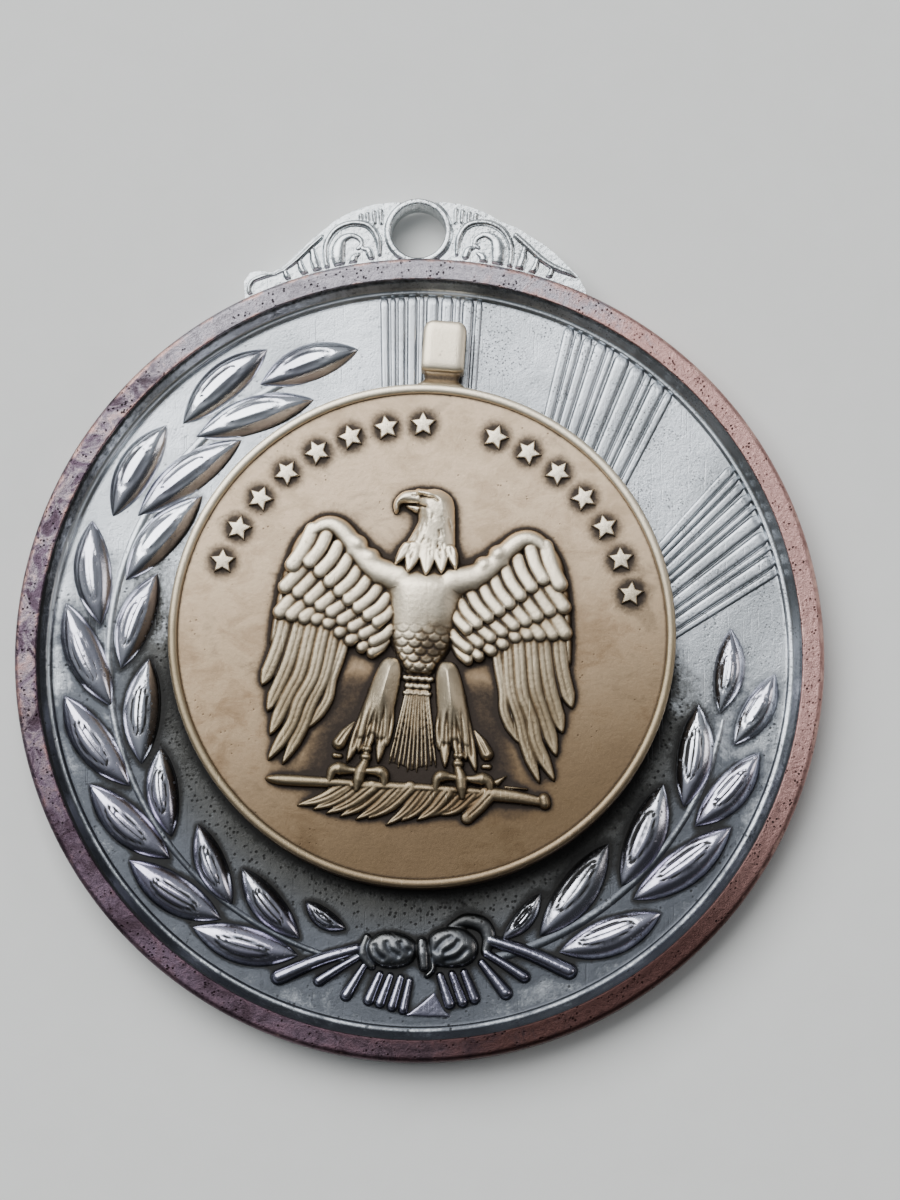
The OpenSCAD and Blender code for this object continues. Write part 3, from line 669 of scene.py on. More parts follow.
def add_scrolls(r, owner, side):
    """Raised curls as (curve, widths, height), and four short strokes beside the collar."""
    flip = mirror(side)
    pods = [([(2.45, 25.7), (2.6, 26.8), (3.2, 27.6), (4.3, 27.75), (5.3, 27.3), (5.85, 26.4),
              (5.9, 25.5), (5.75, 24.7)], [0.3, 0.5, 0.5, 0.46, 0.5, 0.46, 0.42, 0.4], 0.3),
            ([(5.0, 24.9), (5.1, 25.8), (4.9, 26.6), (4.3, 26.95), (3.75, 26.75), (3.6, 26.35),
              (3.85, 26.1)], [0.7, 0.95, 0.9, 0.6, 0.4, 0.36, 0.3], 0.26),
            ([(3.0, 25.55), (3.2, 26.0), (3.5, 26.1)], [0.5, 0.55, 0.3], 0.22),
            ([(4.15, 25.1), (4.1, 25.5), (3.8, 25.75)], [0.6, 0.55, 0.3], 0.2),
            ([(6.2, 26.9), (7.0, 26.15), (7.9, 25.3), (8.9, 24.7), (10.0, 24.3), (10.6, 24.0),
              (10.8, 23.4), (10.4, 23.05), (10.05, 23.35)],
             [0.4, 0.42, 0.44, 0.44, 0.44, 0.42, 0.36, 0.32, 0.3], 0.28),
            ([(6.75, 26.1), (6.6, 25.3), (6.35, 24.55)], [0.34, 0.66, 0.6], 0.28),
            ([(7.55, 25.4), (7.45, 24.9), (7.15, 24.4)], [0.3, 0.5, 0.5], 0.25),
            ([(8.5, 24.75), (8.4, 24.4), (8.2, 24.1)], [0.3, 0.42, 0.4], 0.22)]
    for points, widths, crown in pods:
        r.pod(owner, flip(points), widths, 0.0, crown, power=1.7, steep=4)
    for k in range(4):
        x = 2.35 + 0.42 * k
        r.pod(owner, flip([(x, 27.75 + 0.05 * k), (x + 0.06, 28.55 - 0.1 * k)]), [0.3, 0.36], 0.0, 0.22)


def build_lug_relief():
    """The plate with its collar, and over it the scrolls of both sides."""
    size = (-11.3, 11.3, 22.2, 29.7, 0.06)
    plate = Relief(*size, deep=-0.6)
    d = lug_edge(plate.X, plate.Y)
    eye = np.hypot(plate.X - EYE[0], plate.Y - EYE[1])
    collar_rise = LUG_HI[2] - LUG_TOP
    plate.H = np.where(d > -0.15, -0.16 * (1 - ease(d / 0.25)), plate.deep)
    ring = collar_rise * dome((eye - 0.5 * (EYE_R + COLLAR_R)) / (0.5 * (COLLAR_R - EYE_R) + 0.05), 4.0)
    plate.H = np.where(d > -0.15, np.maximum(plate.H, ring), plate.H)
    plate.owner[:] = LUG
    scrolls = Relief(*size)
    add_scrolls(scrolls, SCROLL_L, -1)
    add_scrolls(scrolls, SCROLL_R, 1)
    keep = ease((lug_edge(scrolls.X, scrolls.Y) - 0.04) / 0.22)
    scrolls.H = np.where(scrolls.H > 0, scrolls.H * keep, scrolls.H)
    scrolls.H = np.where((keep <= 0) | (eye < COLLAR_R + 0.05), scrolls.deep, scrolls.H)
    scrolls.soften(0.5)
    both = Relief(*size)
    both.H = np.maximum(plate.H, scrolls.H)
    both.finish()
    for r in (plate, scrolls):
        r.finish(grain=0.005)
        r.hollow, r.crest, r.level = both.hollow, both.crest, both.level
    return plate, scrolls


# ---------------------------------------------------------------- the bow

KNOT, TAILS = range(2)


# The tails as (root, tip, width at the root, width at the tip, height).
BARS = [((4.4, -17.8), (9.3, -19.75), 0.75, 1.0, 0.5), ((4.1, -18.6), (6.5, -20.1), 0.5, 0.75, 0.42),
        ((3.85, -19.2), (5.35, -21.1), 0.5, 0.85, 0.42),
        ((-3.9, -18.3), (-8.8, -20.05), 0.7, 1.0, 0.5),
        ((-3.8, -18.8), (-6.3, -20.3), 0.45, 0.7, 0.4),
        ((-3.5, -19.4), (-4.6, -21.2), 0.45, 0.75, 0.4),
        ((1.25, -20.0), (1.85, -21.75), 0.5, 0.72, 0.34),
        ((2.0, -19.9), (2.65, -21.65), 0.5, 0.7, 0.34),
        ((2.75, -19.8), (3.4, -21.45), 0.5, 0.7, 0.36),
        ((-2.5, -19.9), (-3.2, -21.5), 0.5, 0.7, 0.34),
        ((-1.85, -20.0), (-2.5, -21.7), 0.45, 0.65, 0.32),
        ((-1.2, -20.1), (-1.75, -21.9), 0.45, 0.65, 0.32),
        ((-0.65, -20.3), (-1.05, -22.1), 0.45, 0.62, 0.32)]


def add_tails(r):
    """The bow's tails: round bars that fan out on both sides and downwards, and a notch."""
    for root, tip, w0, w1, tall in BARS:
        arch = 0.006 * (tip[0] - root[0]) ** 2
        middle = (0.5 * (root[0] + tip[0]), 0.5 * (root[1] + tip[1]) + arch)
        r.pod(TAILS, [root, middle, tip], [w0, 0.5 * (w0 + w1), w1], 0.06, tall, power=1.7, steep=4)
    notch = [(-0.95, -22.5), (0.1, -21.7), (0.9, -21.0), (1.35, -21.9), (2.0, -22.6)]
    r.plateau(TAILS, np.array(notch[::-1]), 0.05, 0.03, 0.2)


def add_knot(r):
    """Two folded lobes with a band between them and loops behind."""
    back_loop = [(1.9, -17.0), (2.9, -16.6), (3.9, -16.85), (4.3, -17.6), (4.1, -18.5)]
    r.pod(KNOT, back_loop, [0.5, 0.9, 1.0, 0.9, 0.6], 0.1, 0.34)
    r.pod(KNOT, [(-3.3, -17.6), (-3.55, -18.6), (-3.0, -19.4)], [0.5, 0.7, 0.5], 0.1, 0.3)
    right = smooth([(0.55, -17.7), (1.3, -17.1), (2.6, -17.05), (3.5, -17.8), (3.55, -18.7),
                    (2.9, -19.35), (1.6, -19.45), (0.7, -19.1)], 6, closed=True)
    left = smooth([(-0.25, -18.0), (-1.1, -17.4), (-2.4, -17.3), (-3.25, -18.0), (-3.1, -18.9),
                   (-2.3, -19.45), (-1.2, -19.45), (-0.4, -19.0)], 6, closed=True)
    folds = (([(2.2, -17.5), (1.35, -18.0), (0.9, -18.7)], [(3.1, -18.2), (2.3, -18.95), (1.3, -19.1)],
              [(2.5, -17.7), (2.1, -18.3), (1.3, -18.7)]),
             ([(-2.9, -17.9), (-2.7, -18.6), (-2.1, -19.1)], [(-2.1, -17.7), (-1.9, -18.4), (-1.1, -18.9)],
              [(-1.3, -17.8), (-1.0, -18.3), (-0.5, -18.6)]))
    for loop, creases in zip((right, left), folds):
        r.plateau(KNOT, loop[::-1], 0.22, 0.5, 1.1)
        where = r.window(loop, 0.2)
        for crease in creases:
            near, _, share = along(r.X[where], r.Y[where], smooth(crease, 8))
            r.carve(where, 0.11 * bell(near, 0.2) * ease(share * 6) * ease((1 - share) * 6))
    r.pod(KNOT, [(0.12, -17.9), (0.2, -18.6), (0.28, -19.4)], [0.55, 0.75, 0.6], 0.35, 0.32, power=2.4)
    r.pod(KNOT, [(0.75, -18.9), (0.8, -19.6), (0.45, -20.0)], [0.26, 0.3, 0.26], 0.3, 0.2)


def build_bow_relief():
    r = Relief(-10.4, 10.6, -23.1, -16.0, 0.055)
    add_tails(r)
    add_knot(r)
    r.soften(0.8)
    r.finish()
    return r


# ---------------------------------------------------------------- materials


class Metal:
    """A worn metal made of noise layers; positions inside it are in millimetres."""

    def __init__(self, name):
        self.material = bpy.data.materials.new(name)
        self.material.use_nodes = True
        self.nodes = self.material.node_tree.nodes
        self.links = self.material.node_tree.links
        self.nodes.clear()
        self.shader = self.nodes.new("ShaderNodeBsdfPrincipled")
        out = self.nodes.new("ShaderNodeOutputMaterial")
        self.links.new(self.shader.outputs[0], out.inputs[0])
        coords = self.nodes.new("ShaderNodeTexCoord")
        scaled = self.nodes.new("ShaderNodeMapping")
        scaled.inputs["Scale"].default_value = (1 / MM, 1 / MM, 1 / MM)
        self.links.new(coords.outputs["Object"], scaled.inputs["Vector"])
        self.here = scaled.outputs[0]
        split = self.nodes.new("ShaderNodeSeparateXYZ")
        self.links.new(self.here, split.inputs[0])
        self.x, self.y, self.z = split.outputs

    def feed(self, socket, value):
        if isinstance(value, bpy.types.NodeSocket):
            self.links.new(value, socket)
        elif isinstance(value, (tuple, list)):
            socket.default_value = tuple(value) + ((1.0,) if len(value) == 3 else ())
        else:
            socket.default_value = value

    def math(self, kind, a, b=0.0):
        node = self.nodes.new("ShaderNodeMath")
        node.operation = kind
        self.feed(node.inputs[0], a)
        self.feed(node.inputs[1], b)
        return node.outputs[0]

    def chain(self, kind, parts):
        total = parts[0]
        for part in parts[1:]:
            total = self.math(kind, total, part)
        return total

    def add(self, *parts):
        return self.chain("ADD", parts)

    def times(self, *parts):
        return self.chain("MULTIPLY", parts)

    def most(self, *parts):
        return self.chain("MAXIMUM", parts)

    def step(self, value, low, high, to_low=0.0, to_high=1.0):
        """Eases from one number to another while the value goes from low to high."""
        node = self.nodes.new("ShaderNodeMapRange")
        node.interpolation_type = "SMOOTHSTEP"
        for key, number in zip(("Value", "From Min", "From Max", "To Min", "To Max"),
                               (value, low, high, to_low, to_high)):
            self.feed(node.inputs[key], number)
        return node.outputs[0]

    def slope(self, lean, low, high):
        """Eases from 0 to 1 along Y, or against it, with a lean towards X."""
        return self.step(self.add(self.y, self.times(self.x, lean)), low, high)

    def diagonal(self, low, high):
        """Eases from 0 to 1 from the lower left to the right, or back."""
        return self.step(self.add(self.x, self.times(self.y, 0.6)), low, high)

    def attribute(self, name):
        node = self.nodes.new("ShaderNodeAttribute")
        node.attribute_name = name
        return node.outputs["Fac"]

    def moved(self, offset, stretch=(1, 1, 1), turn=0.0):
        node = self.nodes.new("ShaderNodeMapping")
        self.feed(node.inputs["Vector"], self.here)
        node.inputs["Location"].default_value = offset
        node.inputs["Rotation"].default_value = (0, 0, math.radians(turn))
        node.inputs["Scale"].default_value = stretch
        return node.outputs[0]

    def noise(self, size, detail=3.0, rough=0.55, twist=0.0, offset=0.0, stretch=(1, 1, 1), turn=0.0):
        """Fractal noise between 0 and 1 with features of about this size in millimetres."""
        node = self.nodes.new("ShaderNodeTexNoise")
        node.noise_dimensions = "3D"
        self.feed(node.inputs["Vector"], self.moved((offset, -offset, 0.3 * offset), stretch, turn))
        node.inputs["Scale"].default_value = 1.0 / size
        node.inputs["Detail"].default_value = detail
        node.inputs["Roughness"].default_value = rough
        node.inputs["Distortion"].default_value = twist
        return node.outputs["Fac"]

    def cells(self, size, offset=0.0):
        """Distance to the nearest of many scattered points, in cells."""
        node = self.nodes.new("ShaderNodeTexVoronoi")
        self.feed(node.inputs["Vector"], self.moved((offset, offset, offset)))
        node.inputs["Scale"].default_value = 1.0 / size
        return node.outputs["Distance"]

    def mix(self, share, a, b):
        node = self.nodes.new("ShaderNodeMix")
        node.data_type = "RGBA"
        self.feed(node.inputs["Factor"], share)
        self.feed(node.inputs[6], a)
        self.feed(node.inputs[7], b)
        return node.outputs[2]

    def scratches(self, count, size=0.05, offset=0.0):
        """Thin straight scratches in several directions."""
        lines_of_all = []
        for k in range(count):
            turn = 17.0 + 47.0 * k
            lines = self.noise(size * 3, 1.0, 0.4, 0.0, offset + 3.1 * k, (1.0, 0.035, 1.0), turn)
            patch = self.noise(2.6, 1.0, 0.5, 0.0, offset + 7.7 * k)
            lines_of_all.append(self.times(self.step(lines, 0.66, 0.74), self.step(patch, 0.48, 0.62)))
        return self.most(*lines_of_all)

    def bump(self, height, depth):
        """Bumps the surface by a height between 0 and 1 times a depth in millimetres."""
        node = self.nodes.new("ShaderNodeBump")
        node.inputs["Distance"].default_value = depth * MM
        self.feed(node.inputs["Height"], height)
        self.feed(self.shader.inputs["Normal"], node.outputs[0])

    def finish(self, color, rough, metallic=1.0, specular=0.5):
        self.feed(self.shader.inputs["Base Color"], color)
        self.feed(self.shader.inputs["Roughness"], rough)
        self.feed(self.shader.inputs["Metallic"], metallic)
        self.shader.inputs["Specular IOR Level"].default_value = specular
        return self.material


def srgb(r, g, b):
    """A colour given in 0 to 255 screen values, made linear."""
    return tuple(((c / 255 + 0.055) / 1.055) ** 2.4 if c > 10 else c / 255 / 12.92 for c in (r, g, b))


def silver_plate(name, bright, toned, gloss, tarnish, glow=0.0, blush=0.0, relief=0.018):
    """Silver-coloured plating toned in its hollows, with painted shade low down and darker round the
    pendant.
    """
    m = Metal(name)
    hollow, crest = m.attribute("hollow"), m.attribute("crest")
    # Painted shade: low makes the plating darker towards the bottom.
    low = m.slope(0.12, 13.0, -16.0)
    from_pendant = m.math("POWER", m.add(m.math("POWER", m.add(m.x, -PENDANT[0]), 2.0),
                                         m.math("POWER", m.add(m.y, -PENDANT[1]), 2.0)), 0.5)
    close = m.times(m.step(from_pendant, 19.8, 16.2), m.step(low, 0.05, 0.75, 0.12, 1.0))
    blotch = m.noise(3.2, 5.0, 0.66, 0.9, 2.0)
    fine = m.noise(0.34, 5.0, 0.74, 0.3, 5.0)
    grit = m.step(m.cells(0.33, 1.0), 0.38, 0.08)
    sparse = m.step(m.add(m.noise(1.5, 3.0, 0.6, 0.0, 9.0), m.times(close, 0.2)), 0.50, 0.66)
    # Toning held in the hollows, strengthened low down as painted shade.
    hollow_toning_and_shade = m.times(hollow, m.step(low, 0.0, 1.0, 0.5, 1.1))
    reach = m.add(hollow_toning_and_shade, m.times(low, 1.15), m.times(close, 0.55), m.times(blotch, 1.6), tarnish - 1.34)
    # The darkening film: tarnish in blotches and hollows, plus painted shade low down.
    tarnish_and_painted_shade = m.step(m.add(reach, m.add(fine, -0.5), m.times(crest, -0.6)), 0.0, 0.9)
    specks = m.times(grit, sparse, m.step(m.add(low, m.times(hollow, 0.4)), 0.0, 0.8, 0.3, 1.0))
    crust = m.step(m.add(hollow_toning_and_shade, m.times(fine, 0.5), m.times(close, 0.42), m.times(crest, -0.35)),
                   0.76, 1.15)
    among_rays = m.times(m.diagonal(9.0, 17.0),
                         m.step(m.noise(2.2, 2.0, 0.5, 0.0, 21.0), 0.45, 0.6))
    freckles = m.times(m.step(m.cells(0.2, 4.0), 0.4, 0.15), m.times(among_rays, 0.7))
    dirt = m.most(crust, specks, freckles)
    clean = m.mix(m.step(m.noise(5.0, 3.0, 0.5, 0.0, 12.0), 0.35, 0.65), bright, toned)
    if glow:
        tint = m.times(m.step(low, 0.35, 0.9), m.step(from_pendant, 17.5, 20.5))
        clean = m.mix(m.times(tint, glow), clean, srgb(150, 132, 176))
    if blush:
        edge = m.times(m.step(m.attribute("level"), -0.01, -0.09),
                       m.step(m.add(blotch, fine), 0.75, 1.1))
        clean = m.mix(m.times(edge, blush), clean, srgb(206, 150, 150))
    film_color = m.mix(m.step(from_pendant, 16.5, 20.5), srgb(74, 72, 66), srgb(96, 100, 108))
    tarnish_and_shade_tone = m.mix(m.add(m.times(fine, 0.6), m.times(m.noise(1.1, 4.0, 0.7, 0.4, 14.0), 0.5)),
                  srgb(20, 20, 21), film_color)
    color = m.mix(m.times(tarnish_and_painted_shade, 0.94), clean, tarnish_and_shade_tone)
    color = m.mix(m.times(dirt, 0.95), color, srgb(17, 15, 12))
    scratch = m.scratches(4, 0.05, 1.0)
    color = m.mix(m.times(scratch, m.step(low, 0.9, 0.2), 0.25), color, srgb(206, 209, 212))
    rough = m.add(gloss, m.times(tarnish_and_painted_shade, 0.14), m.times(fine, 0.12), m.times(dirt, 0.24),
                  m.times(scratch, 0.05))
    metallic = m.step(dirt, 0.2, 1.0, 1.0, 0.25)
    height = m.add(m.times(fine, 0.8), m.times(m.noise(0.12, 2.0, 0.6, 0.0, 3.0), 0.4),
                   m.times(specks, -1.2), m.times(scratch, -0.3), m.times(blotch, 0.9),
                   m.times(crust, 1.4))
    m.bump(height, relief)
    return m.finish(color, rough, metallic)


def rim_plate():
    """Plating worn through to coppery metal on the rim, with painted shade towards the bottom."""
    m = Metal("worn_rim_plate")
    wear = m.attribute("wear")
    blotch = m.noise(1.7, 5.0, 0.72, 1.0, 4.0)
    broad = m.noise(4.6, 3.0, 0.6, 0.6, 14.0)
    fine = m.noise(0.24, 5.0, 0.78, 0.3, 8.0)
    grit = m.step(m.cells(0.26, 6.0), 0.34, 0.08)
    top = m.step(m.add(m.y, m.times(m.math("ABSOLUTE", m.x), -0.3)), 10.0, 22.0)
    right = m.step(m.x, -4.0, 18.0)
    left = m.step(m.x, -8.0, -22.0)
    # Painted shade: low darkens the rim towards the bottom.
    low = m.slope(0.12, 2.0, -17.0)
    copper = m.mix(fine, srgb(110, 78, 76), srgb(216, 172, 164))
    grey = m.mix(fine, srgb(88, 82, 92), srgb(196, 190, 196))
    brown = m.mix(fine, srgb(12, 6, 6), srgb(50, 24, 22))
    share = m.step(m.add(m.times(blotch, 1.1), m.times(fine, 0.3), m.times(right, 0.36),
                         m.times(top, -0.34), m.times(left, -0.12), m.times(wear, 0.4)), 0.50, 0.94)
    color = m.mix(share, grey, copper)
    plum = m.mix(fine, srgb(34, 24, 34), srgb(98, 78, 94))
    # Painted shade colour: plum towards the lower left, dark brown elsewhere.
    shade = m.mix(m.diagonal(-8.0, -24.0), brown, plum)
    color = m.mix(m.times(low, 0.9), color, shade)
    color = m.mix(m.times(left, m.step(top, 0.6, 0.0), m.step(blotch, 0.62, 0.42)), color,
                  m.mix(fine, srgb(48, 38, 50), srgb(126, 106, 122)))
    dull = m.step(m.add(m.times(broad, 0.5), m.times(blotch, 0.6), m.times(right, 0.10)), 0.60, 0.42)
    color = m.mix(m.times(dull, m.step(top, 1.0, 0.0, 0.45, 1.0), 0.8), color, srgb(46, 34, 38))
    worn = m.step(m.add(wear, m.times(fine, 0.35), m.times(low, -0.4)), 0.62, 1.1)
    color = m.mix(m.times(worn, 0.65), color, srgb(238, 194, 182))
    pits = m.times(grit, m.step(m.noise(1.0, 2.0, 0.5, 0.0, 3.0), 0.44, 0.58))
    color = m.mix(m.times(pits, 0.85), color, srgb(30, 20, 20))
    rough = m.add(0.30, m.times(fine, 0.18), m.times(low, 0.05), m.times(pits, 0.2))
    m.bump(m.add(m.times(fine, 1.3), m.times(pits, -1.6), m.times(m.noise(0.11, 2.0, 0.6, 0.0, 6.0), 0.6),
                 m.times(blotch, 1.8)), 0.026)
    return m.finish(color, rough, 1.0)


def bronze_field():
    """The pendant's toned field: matt tan with streaks, painted light towards the top, painted shade
    towards the bottom, and dark colour held round the relief.
    """
    m = Metal("antique_bronze")
    halo, wide = m.attribute("halo"), m.attribute("wide")
    cloud = m.noise(4.5, 4.0, 0.6, 0.5, 1.0)
    streak = m.noise(1.3, 5.0, 0.66, 0.9, 6.0, (0.6, 1.0, 1.0), 60.0)
    fine = m.noise(0.24, 4.0, 0.7, 0.0, 3.0)
    patchy = m.step(m.add(m.times(cloud, 0.6), m.times(streak, 0.5)), 0.38, 0.72)
    # Painted light: the tan grows paler towards the top.
    painted_light_top = m.slope(-0.12, -2.0, 11.0)
    tan = m.mix(patchy, srgb(144, 120, 94), srgb(194, 170, 140))
    tan = m.mix(m.times(painted_light_top, 0.85), tan, m.mix(patchy, srgb(198, 174, 146), srgb(240, 214, 184)))
    # Painted shade: the tan turns dark brown towards the bottom.
    low = m.slope(-0.25, 2.0, -13.0)
    tan = m.mix(m.times(low, 0.8), tan, m.mix(patchy, srgb(78, 62, 42), srgb(112, 92, 66)))
    rough_edge = m.add(m.times(fine, 0.35), m.times(cloud, 0.3), m.times(streak, 0.3))
    dark = m.step(m.add(m.times(halo, 0.85), m.times(wide, 0.85), rough_edge), 0.70, 1.32)
    haze = m.step(m.add(m.times(wide, 1.3), m.times(halo, 0.3), m.times(rough_edge, 0.6)), 0.35, 1.2)
    smudge = m.step(m.add(m.times(cloud, 0.9), m.times(streak, 0.6), m.times(low, 0.15)), 0.76, 1.02)
    tan = m.mix(m.times(smudge, 0.55), tan, srgb(84, 66, 48))
    color = m.mix(m.times(haze, 0.62), tan, srgb(104, 84, 62))
    color = m.mix(m.times(dark, 0.94), color, srgb(42, 34, 30))
    grit = m.step(m.cells(0.42, 2.0), 0.2, 0.05)
    specks = m.times(grit, m.step(m.noise(2.0, 2.0, 0.5, 0.0, 5.0), 0.52, 0.66))
    color = m.mix(m.times(specks, 0.6), color, srgb(66, 50, 36))
    rough = m.add(0.44, m.times(fine, 0.14), m.times(dark, 0.12), m.times(streak, 0.06))
    m.bump(m.add(fine, m.times(streak, 0.6), m.times(specks, -1.0)), 0.014)
    return m.finish(color, rough, m.step(dark, 0.0, 1.0, 0.92, 0.6))


def bronze_relief():
    """Rubbed bronze: pale on the high points, brown and black in the recesses, with painted light towards
    the top and middle and painted shade towards the bottom.
    """
    m = Metal("bronze_highlight")
    hollow, crest, level = m.attribute("hollow"), m.attribute("crest"), m.attribute("level")
    fine = m.noise(0.16, 4.0, 0.7, 0.0, 2.0)
    cloud = m.noise(1.7, 3.0, 0.6, 0.4, 7.0)
    # Painted shade: low dims the pale high points and browns the relief towards the bottom.
    low = m.slope(-0.2, -6.0, -15.0)
    high = m.step(m.add(m.times(crest, 0.55), m.times(level, 0.42), m.times(cloud, 0.3),
                        m.times(hollow, -0.8), m.times(low, -0.35)), 0.12, 0.68)
    # Painted light: up makes the pale and brown tones lighter towards the top and the middle of the
    # pendant.
    up = m.step(m.add(m.y, m.times(m.math("ABSOLUTE", m.add(m.x, -PENDANT[0])), -0.5)), -9.0, 6.0)
    pale = m.mix(up, srgb(158, 142, 116), srgb(255, 240, 214))
    brown = m.mix(up, srgb(84, 70, 52), srgb(140, 118, 90))
    color = m.mix(m.times(low, 0.4), m.mix(high, brown, pale), srgb(110, 84, 62))
    deep = m.step(m.add(hollow, m.times(m.step(level, 0.3, 0.02), 0.55), m.times(fine, 0.3)), 0.34, 0.82)
    color = m.mix(m.times(deep, 0.93), color, srgb(44, 35, 29))
    stain = m.step(m.add(m.noise(0.9, 4.0, 0.65, 0.5, 11.0), m.times(crest, -0.1)), 0.60, 0.72)
    color = m.mix(m.times(stain, 0.35), color, srgb(96, 76, 56))
    scratch = m.scratches(3, 0.035, 2.0)
    color = m.mix(m.times(scratch, 0.25), color, srgb(240, 226, 196))
    rough = m.add(0.36, m.times(fine, 0.16), m.times(deep, 0.25), m.times(stain, 0.08))
    m.bump(m.add(fine, m.times(scratch, -0.3), m.times(cloud, 0.4)), 0.012)
    return m.finish(color, rough, m.step(deep, 0.2, 1.0, 1.0, 0.5))


def cured_resin():
    """The dull bond under the pendant."""
    m = Metal("bonding_resin")
    fine = m.noise(0.3, 3.0, 0.6, 0.2, 2.0)
    color = m.mix(fine, srgb(96, 90, 74), srgb(140, 132, 110))
    m.bump(m.add(fine, m.noise(1.2, 2.0, 0.5, 0.0, 5.0)), 0.05)
    return m.finish(color, m.add(0.42, m.times(fine, 0.2)), 0.0)


def pale_floor():
    m = Metal("studio_floor")
    fine = m.noise(2.5, 3.0, 0.6, 0.0, 2.0)
    color = m.mix(fine, srgb(232, 231, 227), srgb(238, 237, 234))
    return m.finish(color, m.add(0.72, m.times(fine, 0.08)), 0.0, 0.3)


# Name, clean colour, toned colour, gloss, tarnish, then glow, blush and relief where they are needed.
SILVER = silver_plate("silver_plate", srgb(204, 208, 213), srgb(176, 180, 184), 0.25, 0.14)
LEAF_SILVER = silver_plate("leaf_silver", srgb(232, 234, 240), srgb(200, 199, 210), 0.12, -0.44,
                           glow=0.35, relief=0.006)
LUG_SILVER = silver_plate("lug_silver", srgb(222, 226, 228), srgb(204, 207, 208), 0.2, -0.34,
                          blush=0.8)
KNOT_SILVER = silver_plate("knot_silver", srgb(130, 130, 130), srgb(104, 104, 102), 0.18, 0.10,
                           relief=0.01)
TAIL_SILVER = silver_plate("tail_silver", srgb(170, 173, 180), srgb(136, 138, 146), 0.14, -0.30,
                           glow=0.2, relief=0.008)
RIM = rim_plate()
FIELD_BRONZE = bronze_field()
RELIEF_BRONZE = bronze_relief()
RESIN = cured_resin()


# ---------------------------------------------------------------- the medal's disc and rim

MEDAL_TURNS = 900
RIM_TURNS = 1100
PENDANT_TURNS = 720
BORDER_TURNS = 900
BACK_IS_FLAT_BELOW = 0.5


def revolve(name, rings, segments, center, node_names, material, attributes, closed=False,
            wobble=0.0, sharp=35.0):
    """Turns rings of (radius, height) about +Z; an open list starts and ends on the axis."""
    angles = np.linspace(0, 2 * math.pi, segments, endpoint=False)
    inner = np.array(rings if closed else rings[1:-1], float)
    x = center[0] + inner[:, :1] * np.cos(angles)
    y = center[1] + inner[:, :1] * np.sin(angles)
    z = np.repeat(inner[:, 1:], segments, 1)
    uneven = value_noise(x, y, 1.7, 5) + 0.4 * value_noise(x, y, 0.5, 6)
    z = np.where(z > BACK_IS_FLAT_BELOW, z + wobble * uneven, z)
    n = len(inner)
    index = np.arange(n * segments).reshape(n, segments)
    lower = index if closed else index[:-1]
    upper = np.roll(index, -1, 0) if closed else index[1:]
    faces = np.stack([lower, upper, np.roll(upper, -1, 1), np.roll(lower, -1, 1)], -1).reshape(-1, 4)
    verts = np.stack([x, y, z], -1).reshape(-1, 3)
    ring_of = np.repeat(np.arange(n), segments)
    if not closed:
        poles = [[center[0], center[1], rings[0][1]], [center[0], center[1], rings[-1][1]]]
        verts = np.vstack([verts, poles])
        faces = np.vstack([faces, band(index[0], n * segments),
                           band(index[-1][::-1], n * segments + 1)])
        ring_of = np.append(ring_of, [0, n - 1])
    data = {key: fn(verts[:, 0], verts[:, 1], verts[:, 2], ring_of) for key, fn in attributes.items()}
    make_object(name, verts, faces, node_names, material, data, sharp)


def corner(cx, cy, radius, start, end, count=5):
    """Points of an arc, for rounding a profile."""
    turns = np.radians(np.linspace(start, end, count))
    return [(cx + radius * math.cos(a), cy + radius * math.sin(a)) for a in turns]


def span(start, end, spacing):
    """Points between two profile points, without the end."""
    count = max(1, int(math.hypot(end[0] - start[0], end[1] - start[1]) / spacing))
    t = np.linspace(0, 1, count, endpoint=False)
    return [(start[0] + u * (end[0] - start[0]), start[1] + u * (end[1] - start[1])) for u in t]


# Laurel leaves as (tip radius, tip angle, root radius, root angle).
LEAVES = {
    "laurel_leaves_left_outer": [
        (20.1, 101, 20.2, 120), (22.0, 116, 21.2, 135), (21.9, 137, 21.4, 155), (22.5, 157, 20.2, 174),
        (22.6, 171, 19.6, 189), (22.5, 186, 19.9, 204), (22.2, 201, 20.1, 219), (22.2, 215, 20.6, 233),
        (22.1, 230, 20.2, 248)],
    "laurel_leaves_left_inner": [
        (17.8, 112, 20.0, 135), (17.9, 129, 20.0, 153), (17.2, 143, 19.2, 165), (17.4, 162, 18.8, 182),
        (17.0, 180, 18.7, 201), (17.2, 199, 19.2, 216), (17.4, 217, 19.5, 233), (17.3, 230, 19.2, 247),
        (16.9, 245, 17.7, 255)],
    "laurel_leaves_right_outer": [
        (22.4, -3, 20.5, -16), (22.2, -16, 20.3, -32), (22.3, -29, 20.3, -49), (22.1, -47, 20.5, -65)],
    "laurel_leaves_right_inner": [
        (19.7, 5, 19.2, -11), (17.8, -10, 19.1, -30), (17.3, -28, 19.2, -49), (16.7, -45, 19.1, -67),
        (16.7, -63, 18.5, -74)]}
LEAF_W = 2.3
LEAF_H = 0.68
SHORT_LEAF = 4.4
SHELL_FLOOR = FIELD_Z - 0.1
LEAF_GRID = (46, 25)
STEM_GRID = (60, 9)
RAY_GRID = (26, 13)


def leaf_axis(tip_r, tip_a, root_r, root_a):
    """Root, middle and tip: the leaf bows a little outwards."""
    root, tip = polar(root_r, root_a), polar(tip_r, tip_a)
    middle = 0.5 * (root + tip)
    outward = middle / np.hypot(*middle)
    return smooth([root, middle + 0.26 * outward, tip], 12)


def leaf_width(path):
    length = np.hypot(*(path[-1] - path[0]))
    return LEAF_W * (0.66 if length < SHORT_LEAF else 1.0) * np.clip(length / 6.4, 0.85, 1.06)


